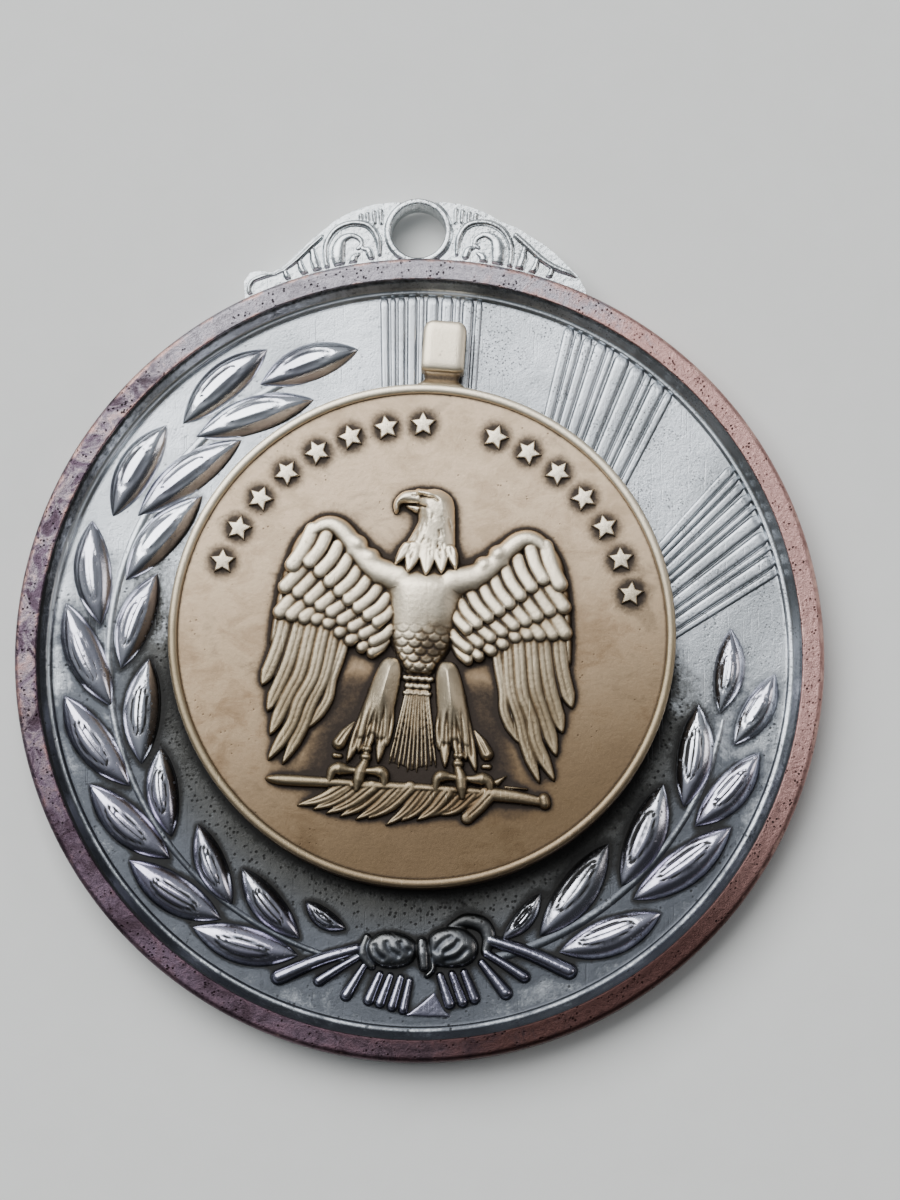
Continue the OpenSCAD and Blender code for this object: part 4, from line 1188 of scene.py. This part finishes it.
def path_frame(path, s):
    """Points at the given shares of a path's length with their left-hand normals."""
    steps = np.hypot(*np.diff(path, axis=0).T)
    run = np.concatenate([[0], np.cumsum(steps)])
    points = np.stack([np.interp(s * run[-1], run, path[:, k]) for k in (0, 1)], 1)
    ahead = np.gradient(points, axis=0)
    ahead /= np.hypot(ahead[:, 0], ahead[:, 1])[:, None]
    return points, np.stack([-ahead[:, 1], ahead[:, 0]], 1)


def swept_shell(path, grid, half, height):
    """A closed shell along a path: half(s) is its half width, height(s, t) its upper surface."""
    count, across = grid
    s = np.linspace(0, 1, count)
    points, left = path_frame(path, s)
    S, T = np.meshgrid(s, np.linspace(-1, 1, across), indexing="ij")
    side = np.sin(T * math.pi / 2)
    out = half(S) * side
    x = points[:, :1] + left[:, :1] * out
    y = points[:, 1:] + left[:, 1:] * out
    z, fields = height(S, side)
    top = np.stack([x, y, z], -1).reshape(-1, 3)
    base = top.copy()
    base[:, 2] = SHELL_FLOOR
    index = np.arange(count * across).reshape(count, across)
    quads = np.stack([index[:-1, :-1], index[1:, :-1], index[1:, 1:], index[:-1, 1:]], -1).reshape(-1, 4)
    ring = np.concatenate([index[0], index[1:-1, -1], index[-1, ::-1], index[-2:0:-1, 0]])
    n = len(top)
    faces = np.vstack([quads[:, ::-1], band(ring, ring + n), quads + n])
    return np.vstack([top, base]), faces, {k: np.concatenate([v.ravel()] * 2) for k, v in fields.items()}


def join_shells(shells):
    verts, faces, fields = [], [], {}
    start = 0
    for v, f, a in shells:
        verts.append(v)
        faces.append(f + start)
        start += len(v)
        for key, value in a.items():
            fields.setdefault(key, []).append(value)
    return np.vstack(verts), np.vstack(faces), {k: np.concatenate(v) for k, v in fields.items()}


def stand_on_field(name, node, shells, material):
    verts, faces, fields = join_shells(shells)
    make_object(name, verts, faces, [node], material, fields, 50)


def leaf_shell(path, random):
    width = leaf_width(path)
    tall = LEAF_H * (0.8 if width < 1.6 else 1.0) * random.uniform(0.94, 1.06)
    skew = 0.16 + random.uniform(-0.06, 0.06)
    pad_at, pad_len = random.uniform(0.47, 0.53), random.uniform(0.24, 0.28)

    def half(s):
        return 0.5 * width * np.maximum(1 - np.abs(2 * s - 1) ** 2.1, 0.004) ** 0.88

    def height(s, t):
        swell = np.maximum(1 - np.abs(2 * s - 1) ** 2.4, 0.0) ** 0.8
        body = 0.03 + (tall - 0.03) * swell * np.maximum(1 - np.abs(t) ** 1.9, 0) ** 0.92
        pad = np.maximum(1 - ((s - pad_at) / pad_len) ** 2, 0) ** 0.6 * 0.40
        inside = ease((pad - np.abs(t - skew)) / 0.10 + 0.5) * (pad > 0.02)
        lip = bell((np.abs(t - skew) - pad) / 0.07, 1.0) * (pad > 0.05)
        vein = bell((t - skew) / 0.07, 1.0)
        crease = vein * ease((s - pad_at - pad_len * 0.9) * 6) * 0.035
        slot = vein * inside * 0.07 * (pad > 0.16)
        z = body + 0.03 * inside - 0.075 * lip - slot + crease
        edge = ease((np.abs(t) - 0.8) / 0.2)
        hollow = np.clip(0.7 * edge + 1.2 * lip + 1.2 * vein * inside * (pad > 0.16)
                         + 0.5 * ease((0.12 - s) / 0.12), 0, 1.6)
        return FIELD_Z + z - 0.02, patina(hollow, inside * 0.6 * (1 - vein), z)

    return swept_shell(path, LEAF_GRID, half, height)


def build_leaves(node, entries):
    random = np.random.default_rng(SEED + len(entries))
    shells = [leaf_shell(leaf_axis(*entry), random) for entry in entries]
    stand_on_field(node.replace("laurel_", "wreath_"), node, shells, LEAF_SILVER)


STEMS = {"laurel_stem_left": (19.6, 108, 256), "laurel_stem_right": (19.5, -76, -12)}


def build_stem(node, radius, start, end):
    path = np.array([polar(radius, a) for a in np.linspace(start, end, STEM_GRID[0])])
    half = lambda s: 0.3 * (1 - 0.4 * s)

    def height(s, t):
        z = 0.09 * (1 - t * t) + 0.005
        return FIELD_Z + z, patina(0.3 * np.abs(t), 0 * t, z)

    shell = swept_shell(path, STEM_GRID, half, height)
    stand_on_field(node.replace("laurel_", "wreath_"), node, [shell], SILVER)


# Ray bundles: inner corners and outer corners of each fan.
RAYS = {"ray_bundle_top": ((-2.4, 15.6), (3.6, 15.6), (-2.5, 22.85), (4.1, 22.6)),
        "ray_bundle_upper_right": ((7.6, 14.2), (12.6, 9.8), (9.3, 21.3), (16.2, 16.6)),
        "ray_bundle_right": ((14.4, 6.4), (15.6, 0.7), (19.7, 12.3), (22.6, 5.0))}
RAY_COUNT = 10
RAY_END = 23.2


def ray_shell(inner, outer, w_in, w_out, tall):
    path = np.array([inner, outer])

    def half(s):
        return 0.5 * (w_in + (w_out - w_in) * s) * np.minimum(1, (1.0 - s) * 40 + 0.5) ** 0.5

    def height(s, t):
        z = tall * np.maximum(1 - np.abs(t) ** 7, 0) ** 0.9 * ease((1.0 - s) * 40 + 0.3) + 0.01
        edge = ease((np.abs(t) - 0.86) / 0.14)
        return FIELD_Z + z, patina(2.2 * edge, 0.6 * (np.abs(t) < 0.8), z)

    return swept_shell(path, RAY_GRID, half, height)


def build_rays(node, in_a, in_b, out_a, out_b):
    """A fan of rays of uneven width between two inner and two outer corners."""
    random = np.random.default_rng(SEED + 5)
    edges = np.cumsum(random.uniform(0.55, 1.45, RAY_COUNT + 1))
    edges = (edges - edges[0]) / (edges[-1] - edges[0])
    corners = [np.array(c, float) for c in (in_a, in_b, out_a, out_b)]
    spread = lambda a, b, share: a + (b - a) * share
    shells = []
    for lo, hi in zip(edges[:-1], edges[1:]):
        middle, width = 0.5 * (lo + hi), (hi - lo)
        inner = spread(corners[0], corners[1], middle)
        outer = spread(corners[2], corners[3], middle)
        outer = outer * (RAY_END - random.uniform(0, 0.12)) / np.hypot(*outer)
        w_in = width * np.hypot(*(corners[1] - corners[0])) * 0.86
        w_out = width * np.hypot(*(corners[3] - corners[2])) * 0.86
        shells.append(ray_shell(inner, outer, w_in, w_out, random.uniform(0.19, 0.24)))
    stand_on_field(node.replace("ray_bundle", "rays"), node, shells, SILVER)


def field_shadow():
    """A coarse map of what stands on the field, from which its toning and painted shade round the raised
    parts are taken.
    """
    r = Relief(-23.4, 23.4, -23.4, 23.4, 0.12)
    for entries in LEAVES.values():
        for entry in entries:
            path = leaf_axis(*entry)
            w = leaf_width(path)
            r.pod(0, path[::6], [0.3, 0.8 * w, w, 0.8 * w, 0.2], 0.3, 0.3)
    lift = bow.sample(np.maximum(bow.H, 0), r.X, r.Y)
    r.H = np.maximum(r.H, np.where(lift > 0.02, lift, r.deep))
    under = PENDANT_R - np.hypot(r.X - PENDANT[0], r.Y - PENDANT[1])
    r.H = np.maximum(r.H, np.where(under > 0, 0.5, r.deep))
    r.finish(grain=0.0)
    return r


SEAT_R = 14.4
SEAT_Z = 1.5
BACK_STEP_R = 22.95
BACK_STEP_Z = 0.25
PANEL_R = 12.3


def build_medal_disc(shadow):
    """From the hidden seat outwards over the field and up the wall, then back under the medal."""
    rings = [(0, SEAT_Z), (SEAT_R, SEAT_Z), (SEAT_R + 0.3, FIELD_Z)]
    rings += span((SEAT_R + 0.5, FIELD_Z), (FIELD_R - 0.1, FIELD_Z), 0.15)
    rings += corner(FIELD_R - 0.1, FIELD_Z + 0.1, 0.1, -90, -10, 4)
    rings += corner(FIELD_R + 0.12, FIELD_Z + 0.24, 0.1, 170, 80, 4)
    rings += [(FIELD_R + 0.22, FIELD_Z + 0.35), (FIELD_R + 0.32, FIELD_Z + 0.42)]
    rings += span((FIELD_R + 0.38, FIELD_Z + 0.5), (LAND_R - 0.04, MEDAL_TOP - 0.16), 0.12)
    rings += [(LAND_R, MEDAL_TOP - 0.1), (LAND_R, 0.0)]
    rings += [(BACK_STEP_R + 0.45, 0.0), (BACK_STEP_R + 0.1, BACK_STEP_Z - 0.03)]
    rings += span((BACK_STEP_R - 0.05, BACK_STEP_Z), (PANEL_R + 0.1, BACK_STEP_Z), 0.5)
    rings += [(PANEL_R, BACK_STEP_Z - 0.01), (PANEL_R - 0.25, 0.02), (PANEL_R - 0.5, 0.0), (6.0, 0.0),
              (0, 0)]
    top_rings = len([1 for r, z in rings[1:-1] if z > 1.0])

    def hollow(x, y, z, ring):
        r = np.hypot(x, y)
        over = ring < top_rings
        # Toning and painted shade on the field round the leaves, the bow and the pendant.
        near = 0.55 * shadow.sample(shadow.halo, x, y)
        near = near + 0.75 * shadow.sample(shadow.wide_halo, x, y)
        # Painted shade on the wall up to the rim: strongest towards the top and the left, weakest at the
        # bottom.
        shady = 0.42 + 1.3 * ease((y - 0.3 * x + 2) / 20) + 0.25 * ease((-x - 8) / 12)
        shady = shady - 0.3 * ease((-y - 8) / 10)
        wall_painted_shade = 0.62 * shady * ease((r - FIELD_R - 0.22) / 0.15)
        step = 0.6 * bell(r - FIELD_R, 0.12) + wall_painted_shade + 0.8 * bell(r - LAND_R + 0.05, 0.08)
        back = 0.8 * bell(r - BACK_STEP_R, 0.25) + 0.8 * bell(r - PANEL_R, 0.25)
        return np.where(over, np.clip(near * (r < FIELD_R - 0.1) + step, 0, 2), back)

    def crest(x, y, z, ring):
        return 0.7 * bell(np.hypot(x, y) - FIELD_R - 0.16, 0.07)

    level = lambda x, y, z, ring: np.zeros(len(x))
    revolve("medal_body", rings, MEDAL_TURNS, (0, 0), ["medal_disc"], SILVER,
            patina(hollow, crest, level), wobble=0.006)


def build_medal_rim():
    """A ring with rounded outer edges, worn most where hands and cloth reach it."""
    r = 0.35
    rings = span((LAND_R, 0.02), (LAND_R, MEDAL_TOP - 0.1), 0.5)
    rings += corner(LAND_R + 0.1, MEDAL_TOP - 0.1, 0.1, 180, 95, 4)
    rings += span((LAND_R + 0.12, MEDAL_TOP), (MEDAL_R - r, MEDAL_TOP - 0.02), 0.16)
    rings += corner(MEDAL_R - r, MEDAL_TOP - r, r, 90, 0, 7)
    rings += span((MEDAL_R, MEDAL_TOP - r - 0.1), (MEDAL_R, r + 0.1), 0.35)
    rings += corner(MEDAL_R - r, r, r, 0, -90, 6)
    rings += span((MEDAL_R - r - 0.1, 0), (LAND_R + 0.05, 0), 0.3)

    def wear(x, y, z, ring):
        rad = np.hypot(x, y)
        upper = z > MEDAL_TOP - 0.6
        outer = bell(rad - (MEDAL_R - 0.16), 0.16)
        inner = 0.7 * bell(rad - (LAND_R + 0.08), 0.09)
        ragged = 0.6 + 0.5 * value_noise(x, y, 1.3, 21) + 0.3 * value_noise(x, y, 0.4, 22)
        return np.clip(np.where(upper, outer + inner, 0.25) * ragged, 0, 1)

    revolve("medal_rim_ring", rings, RIM_TURNS, (0, 0), ["medal_rim"], RIM,
            {"wear": wear}, closed=True, wobble=0.006, sharp=50)


# ---------------------------------------------------------------- the pendant

def star_centres():
    turns = [4 + 10 * k for k in range(8)] + [-16 - 9.8 * k for k in range(7)]
    return [(t, polar(STAR_R, 90 + t)) for t in turns]


def build_pendant_disc(eagle):
    """The turned body, toned dark close to the eagle and the stars."""
    rings = [(0, FACE_Z)] + span((0.15, FACE_Z), (PENDANT_R - 0.45, FACE_Z), 0.15)
    rings += [(PENDANT_R - 0.3, FACE_Z - 0.02), (PENDANT_R - 0.02, FACE_Z - 0.05)]
    rings += span((PENDANT_R, FACE_Z - 0.12), (PENDANT_R, PENDANT_Z + 0.3), 0.3)
    rings += corner(PENDANT_R - 0.3, PENDANT_Z + 0.3, 0.3, 0, -90, 5)
    rings += [(8.0, PENDANT_Z), (0, PENDANT_Z)]
    face_rings = len([1 for r, z in rings[1:-1] if z > FACE_Z - 0.04])

    def halo(x, y, z, ring):
        u, v = ON_PENDANT.back(x, y)
        near = eagle.sample(eagle.halo, u, v)
        for _, (sx, sy) in star_centres():
            near = np.maximum(near, 1.35 * bell(np.hypot(u - sx, v - sy), 1.15))
        edge = bell(np.hypot(u, v) - (PENDANT_R - 0.6), 0.16)
        return np.where(ring < face_rings, np.clip(np.maximum(near, edge * 0.7), 0, 1.25), 0.45)

    def wide(x, y, z, ring):
        u, v = ON_PENDANT.back(x, y)
        near = eagle.sample(eagle.wide_halo, u, v)
        reach = 5.6 + 0.32 * np.maximum(-v - 2, 0)
        under_wings = ease((reach - np.abs(u)) / 1.8) * ease((-1.4 - v) / 2.4) * ease((v + 10.8) / 1.2)
        by_hilt = bell(np.hypot((u - 6.2) / 2.6, v + 10.7), 0.9)
        return np.where(ring < face_rings, np.maximum(near, 0.85 * under_wings + 0.6 * by_hilt), 0.2)

    revolve("pendant_body", rings, PENDANT_TURNS, PENDANT, ["pendant_disc"],
            FIELD_BRONZE, {"halo": halo, "wide": wide}, wobble=0.004)


def build_pendant_border():
    inner, outer = PENDANT_R - 0.6, PENDANT_R
    rings = [(outer, FACE_Z - 0.08), (outer, FACE_Z + 0.06)]
    rings += [(0.5 * (inner + outer) + 0.3 * math.cos(a), FACE_Z + 0.06 + 0.29 * math.sin(a) ** 0.7)
              for a in np.linspace(0.12, math.pi - 0.12, 13)]
    rings += [(inner, FACE_Z + 0.06), (inner, FACE_Z - 0.08)]
    rings = rings[::-1]
    tall = BORDER_TOP - FACE_Z
    hollow = lambda x, y, z, ring: np.clip(1 - (z - FACE_Z) / (0.45 * tall), 0, 1)
    crest = lambda x, y, z, ring: np.clip((z - FACE_Z) / tall, 0, 1)
    level = lambda x, y, z, ring: 0.4 + 0.5 * np.clip((z - FACE_Z) / tall, 0, 1)
    revolve("pendant_border", rings, BORDER_TURNS, PENDANT, ["pendant_rim"],
            RELIEF_BRONZE, patina(hollow, crest, level), closed=True, wobble=0.012, sharp=60)


def stand_on_pendant(name, node, shells, lift, sharp):
    """One piece from shells drawn in the pendant's own axes."""
    verts, faces, fields = join_shells(shells)
    x, y = ON_PENDANT(verts[:, 0], verts[:, 1])
    verts = np.stack([x, y, verts[:, 2] + lift], 1)
    make_object(name, verts, faces, [node], RELIEF_BRONZE, fields, sharp)


STAR_SIZE = 0.86
STAR_TIERS = ((1.08, -0.1), (1.02, 0.04), (0.93, 0.21), (0.80, 0.26))
STAR_PEAK = 0.31


def star_shell(turn, middle):
    """A faceted star as tiers of (scale, height) under a peak."""
    angles = np.radians(90 + turn + 36 * np.arange(10))
    reach = STAR_SIZE * np.where(np.arange(10) % 2 == 0, 1.0, 0.5)
    outline = np.stack([reach * np.cos(angles), reach * np.sin(angles)], 1)
    tiers = [np.column_stack([middle + k * outline, np.full(10, z)]) for k, z in STAR_TIERS]
    verts = np.vstack(tiers + [[*middle, STAR_PEAK], [*middle, STAR_TIERS[0][1]]])
    index = np.arange(10 * len(tiers)).reshape(-1, 10)
    peak, base = len(verts) - 2, len(verts) - 1
    faces = [band(lower, upper) for lower, upper in zip(index[:-1], index[1:])]
    faces += [band(index[-1], peak), band(index[0][::-1], base)]
    z = verts[:, 2]
    fields = patina(np.clip((0.12 - z) / 0.12, 0, 1), np.clip(z / 0.3, 0, 1), 0.4 + np.clip(z, 0, 1))
    return verts, np.vstack(faces), fields


def build_stars():
    """Fifteen stars along the upper edge, one in place of each letter of the inscription."""
    shells = [star_shell(turn, middle) for turn, middle in star_centres()]
    stand_on_pendant("star_row", "star_border", shells, FACE_Z, 25)


KNUCKLE_Y = (16.7, 20.0)
KNUCKLE_Z = (2.15, 4.35)
KNUCKLE_HALF = 1.35
KNUCKLE_ROUND = 0.6
HOLE_AT = (18.7, 3.25)
HOLE_R = 0.8
NECK_Z = 3.0


def squircle(count, power):
    """A rounded unit square as points."""
    a = np.linspace(0, 2 * math.pi, count, endpoint=False)
    c, s = np.cos(a), np.sin(a)
    return np.sign(c) * np.abs(c) ** (2 / power), np.sign(s) * np.abs(s) ** (2 / power)


def knuckle_shell():
    """A rounded block with a cross hole, lofted from side to side."""
    count = 72
    u, v = squircle(count, 7)
    a = np.arctan2(v, u)
    cy, cz = sum(KNUCKLE_Y) / 2, sum(KNUCKLE_Z) / 2
    ry, rz = (KNUCKLE_Y[1] - KNUCKLE_Y[0]) / 2, (KNUCKLE_Z[1] - KNUCKLE_Z[0]) / 2
    stations = KNUCKLE_HALF * np.sin(np.linspace(-math.pi / 2, math.pi / 2, 25))
    outer, inner = [], []
    for x in stations:
        over = max(0.0, abs(x) - (KNUCKLE_HALF - KNUCKLE_ROUND)) / KNUCKLE_ROUND
        inset = 1 - math.sqrt(max(0.0, 1 - over ** 2))
        y = cy + u * (ry - np.where(u > 0, KNUCKLE_ROUND, 0.16) * inset)
        outer.append(np.stack([np.full(count, x), y, cz + v * (rz - 0.26 * inset)], 1))
        hole_x = x if abs(x) >= KNUCKLE_HALF else np.clip(x, 0.02 - KNUCKLE_HALF, KNUCKLE_HALF - 0.02)
        reach = HOLE_R * (1 + 0.12 * over ** 3)
        inner.append(np.stack([np.full(count, hole_x), HOLE_AT[0] + reach * np.cos(a),
                               HOLE_AT[1] + reach * np.sin(a)], 1))
    verts = np.vstack(outer + inner)
    n = len(stations)
    out, into = np.arange(2 * n * count).reshape(2, n, count)
    faces = []
    for k in range(n - 1):
        faces += [band(out[k], out[k + 1]), band(into[k], into[k + 1])[:, ::-1]]
    faces += [band(out[0], into[0])[:, ::-1], band(out[-1], into[-1])]
    dist_edge = np.minimum(KNUCKLE_HALF - np.abs(verts[:, 0]), KNUCKLE_Z[1] - verts[:, 2] + 0.4)
    is_inner = np.arange(len(verts)) >= n * count
    hollow = np.where(is_inner, 1.0, np.clip((2.9 - verts[:, 2]) / 1.2, 0, 0.8))
    crest = np.where(is_inner, 0.0, np.clip(0.7 - 0.5 * dist_edge, 0, 1))
    return verts, np.vstack(faces), patina(hollow, crest, np.full(len(verts), 0.75))


def neck_shell():
    """The waisted bar that joins the knuckle to the disc."""
    count, rows = 40, 17
    u, v = squircle(count, 6)
    rings = []
    for y in np.linspace(PENDANT_R - 0.55, KNUCKLE_Y[0] + 0.25, rows):
        half = 1.08 + 0.42 * bell(y - PENDANT_R, 0.22) + 0.1 * bell(y - KNUCKLE_Y[0], 0.15)
        top = 0.86 + 0.25 * bell(y - PENDANT_R + 0.1, 0.25)
        rings.append(np.stack([half * u, np.full(count, y), NECK_Z + v * top], 1))
    ends = [[0, rings[0][0, 1], NECK_Z], [0, rings[-1][0, 1], NECK_Z]]
    verts = np.vstack(rings + [ends])
    verts[:, 2] = np.maximum(verts[:, 2], 2.2)
    index = np.arange(rows * count).reshape(rows, count)
    faces = [band(a, b)[:, ::-1] for a, b in zip(index[:-1], index[1:])]
    faces += [band(index[0], rows * count), band(index[-1][::-1], rows * count + 1)]
    shade = 0.55 * bell(verts[:, 1] - 16.35, 0.35) + np.clip(3.3 - verts[:, 2], 0, 0.6)
    fields = patina(np.clip(shade, 0, 1), np.full(len(verts), 0.2), np.full(len(verts), 0.45))
    return verts, np.vstack(faces), fields


def build_knuckle():
    stand_on_pendant("knuckle_block", "pendant_knuckle", [knuckle_shell(), neck_shell()], 0, 45)


# ---------------------------------------------------------------- putting it together

bow = build_bow_relief()
shadow = field_shadow()
build_medal_disc(shadow)
build_medal_rim()
for leaf_node, leaf_entries in LEAVES.items():
    build_leaves(leaf_node, leaf_entries)
for stem_node, (stem_r, stem_start, stem_end) in STEMS.items():
    build_stem(stem_node, stem_r, stem_start, stem_end)
for ray_node, ray_corners in RAYS.items():
    build_rays(ray_node, *ray_corners)

bow_cells = bow.cell_owners()
for bow_owner, bow_node, bow_silver in ((KNOT, "bow_knot", KNOT_SILVER),
                                        (TAILS, "bow_tails", TAIL_SILVER)):
    relief_object(bow_node + "_relief", bow, bow_cells, bow_owner, ON_FIELD, [bow_node],
                  bow_silver)

plate, scrolls = build_lug_relief()
middle = lambda f: 0.25 * (f[:-1, :-1] + f[1:, :-1] + f[:-1, 1:] + f[1:, 1:])
plate_cells = np.where(lug_edge(middle(plate.X), middle(plate.Y)) > 0, LUG, -1)
relief_object("lug_plate", plate, plate_cells, LUG, ON_LUG, ["suspension_lug"],
              LUG_SILVER, bottom=LUG_LO[2] - LUG_TOP, snap=snap_to_lug)
scroll_cells = scrolls.cell_owners()
for scroll_owner, scroll_side in ((SCROLL_L, "left"), (SCROLL_R, "right")):
    relief_object("scrollwork_" + scroll_side, scrolls, scroll_cells, scroll_owner, ON_LUG,
                  ["lug_scrolls_" + scroll_side], LUG_SILVER)

eagle = build_eagle_relief()
build_pendant_disc(eagle)
build_pendant_border()
build_stars()
build_knuckle()
eagle_cells = eagle.cell_owners()
for eagle_owner, eagle_node in enumerate(EAGLE_NODES):
    relief_object(eagle_node + "_relief", eagle, eagle_cells, eagle_owner, ON_PENDANT, [eagle_node],
                  RELIEF_BRONZE)

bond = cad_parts["bond_layer"]
bond.data.materials.clear()
bond.data.materials.append(RESIN)


# ---------------------------------------------------------------- floor, light and camera

FLOOR_REACH = 2.0


# Lights as (name, place, size, power in watts, colour), in metres.
LIGHTS = [("window", (-0.32, 0.45, 0.78), (0.9, 0.85), 12.5, (0.97, 0.99, 1.0)),
          ("side_glow", (0.8, 0.1, 0.45), (0.3, 0.4), 0.9, (1.0, 0.95, 0.92))]
ROOM_COLOR = (0.80, 0.86, 0.92, 1.0)
BRIGHT_SIDE = (-0.35, 0.62, 0.70)
ROOM_STEP = {"From Min": -0.1, "From Max": 0.95, "To Min": 0.05, "To Max": 0.50}


def build_floor():
    mesh = bpy.data.meshes.new("floor")
    corners = ((-1, -1), (1, -1), (1, 1), (-1, 1))
    mesh.from_pydata([(FLOOR_REACH * x, FLOOR_REACH * y, 0) for x, y in corners], [], [(0, 1, 2, 3)])
    mesh.materials.append(pale_floor())
    floor = bpy.data.objects.new("floor", mesh)
    bpy.context.scene.collection.objects.link(floor)


def area_light(name, place, size, power, color):
    """A rectangular light that points at the medal's centre."""
    data = bpy.data.lights.new(name, "AREA")
    data.shape = "RECTANGLE"
    data.size, data.size_y = size
    data.energy = power
    data.color = color
    light = bpy.data.objects.new(name, data)
    bpy.context.scene.collection.objects.link(light)
    light.location = place
    light.rotation_euler = (-Vector(place)).to_track_quat("-Z", "Y").to_euler()


def build_world():
    """A dim room, brighter towards the window and darker on the other side."""
    world = bpy.data.worlds.new("studio")
    world.use_nodes = True
    nodes, links = world.node_tree.nodes, world.node_tree.links
    coords = nodes.new("ShaderNodeTexCoord")
    toward = nodes.new("ShaderNodeVectorMath")
    toward.operation = "DOT_PRODUCT"
    toward.inputs[1].default_value = BRIGHT_SIDE
    ramp = nodes.new("ShaderNodeMapRange")
    ramp.interpolation_type = "SMOOTHSTEP"
    for key, number in ROOM_STEP.items():
        ramp.inputs[key].default_value = number
    background = nodes["Background"]
    background.inputs["Color"].default_value = ROOM_COLOR
    links.new(coords.outputs["Generated"], toward.inputs[0])
    links.new(toward.outputs["Value"], ramp.inputs["Value"])
    links.new(ramp.outputs[0], background.inputs["Strength"])
    bpy.context.scene.world = world


# The camera: its lean off the vertical, distance and aim in mm, and lens in mm.
LEAN = math.radians(7.818)
SIDEWAYS = math.radians(0.719)
ROLL = math.radians(-0.155)
DISTANCE = 250.0
AIM = np.array([1.945, 3.574, 2.0])
LENS = 119.03


def build_camera():
    """Looks at the medal from the photo's angle."""
    back = np.array([math.sin(SIDEWAYS) * math.cos(LEAN), -math.sin(LEAN),
                     math.cos(LEAN) * math.cos(SIDEWAYS)])
    back /= np.linalg.norm(back)
    right = np.cross((0, 1, 0), back)
    right /= np.linalg.norm(right)
    up = np.cross(back, right)
    across = math.cos(ROLL) * right + math.sin(ROLL) * up
    upward = np.cross(back, across)
    place = (AIM + DISTANCE * back) * MM
    data = bpy.data.cameras.new("camera")
    data.sensor_width = 36.0
    data.lens = LENS
    data.clip_start = 0.01
    camera = bpy.data.objects.new("camera", data)
    rows = [[across[k], upward[k], back[k], place[k]] for k in range(3)]
    camera.matrix_world = Matrix(rows + [[0, 0, 0, 1]])
    bpy.context.scene.collection.objects.link(camera)
    bpy.context.scene.camera = camera


build_floor()
build_world()
for light_name, light_place, light_size, light_power, light_color in LIGHTS:
    area_light(light_name, light_place, light_size, light_power, light_color)
build_camera()
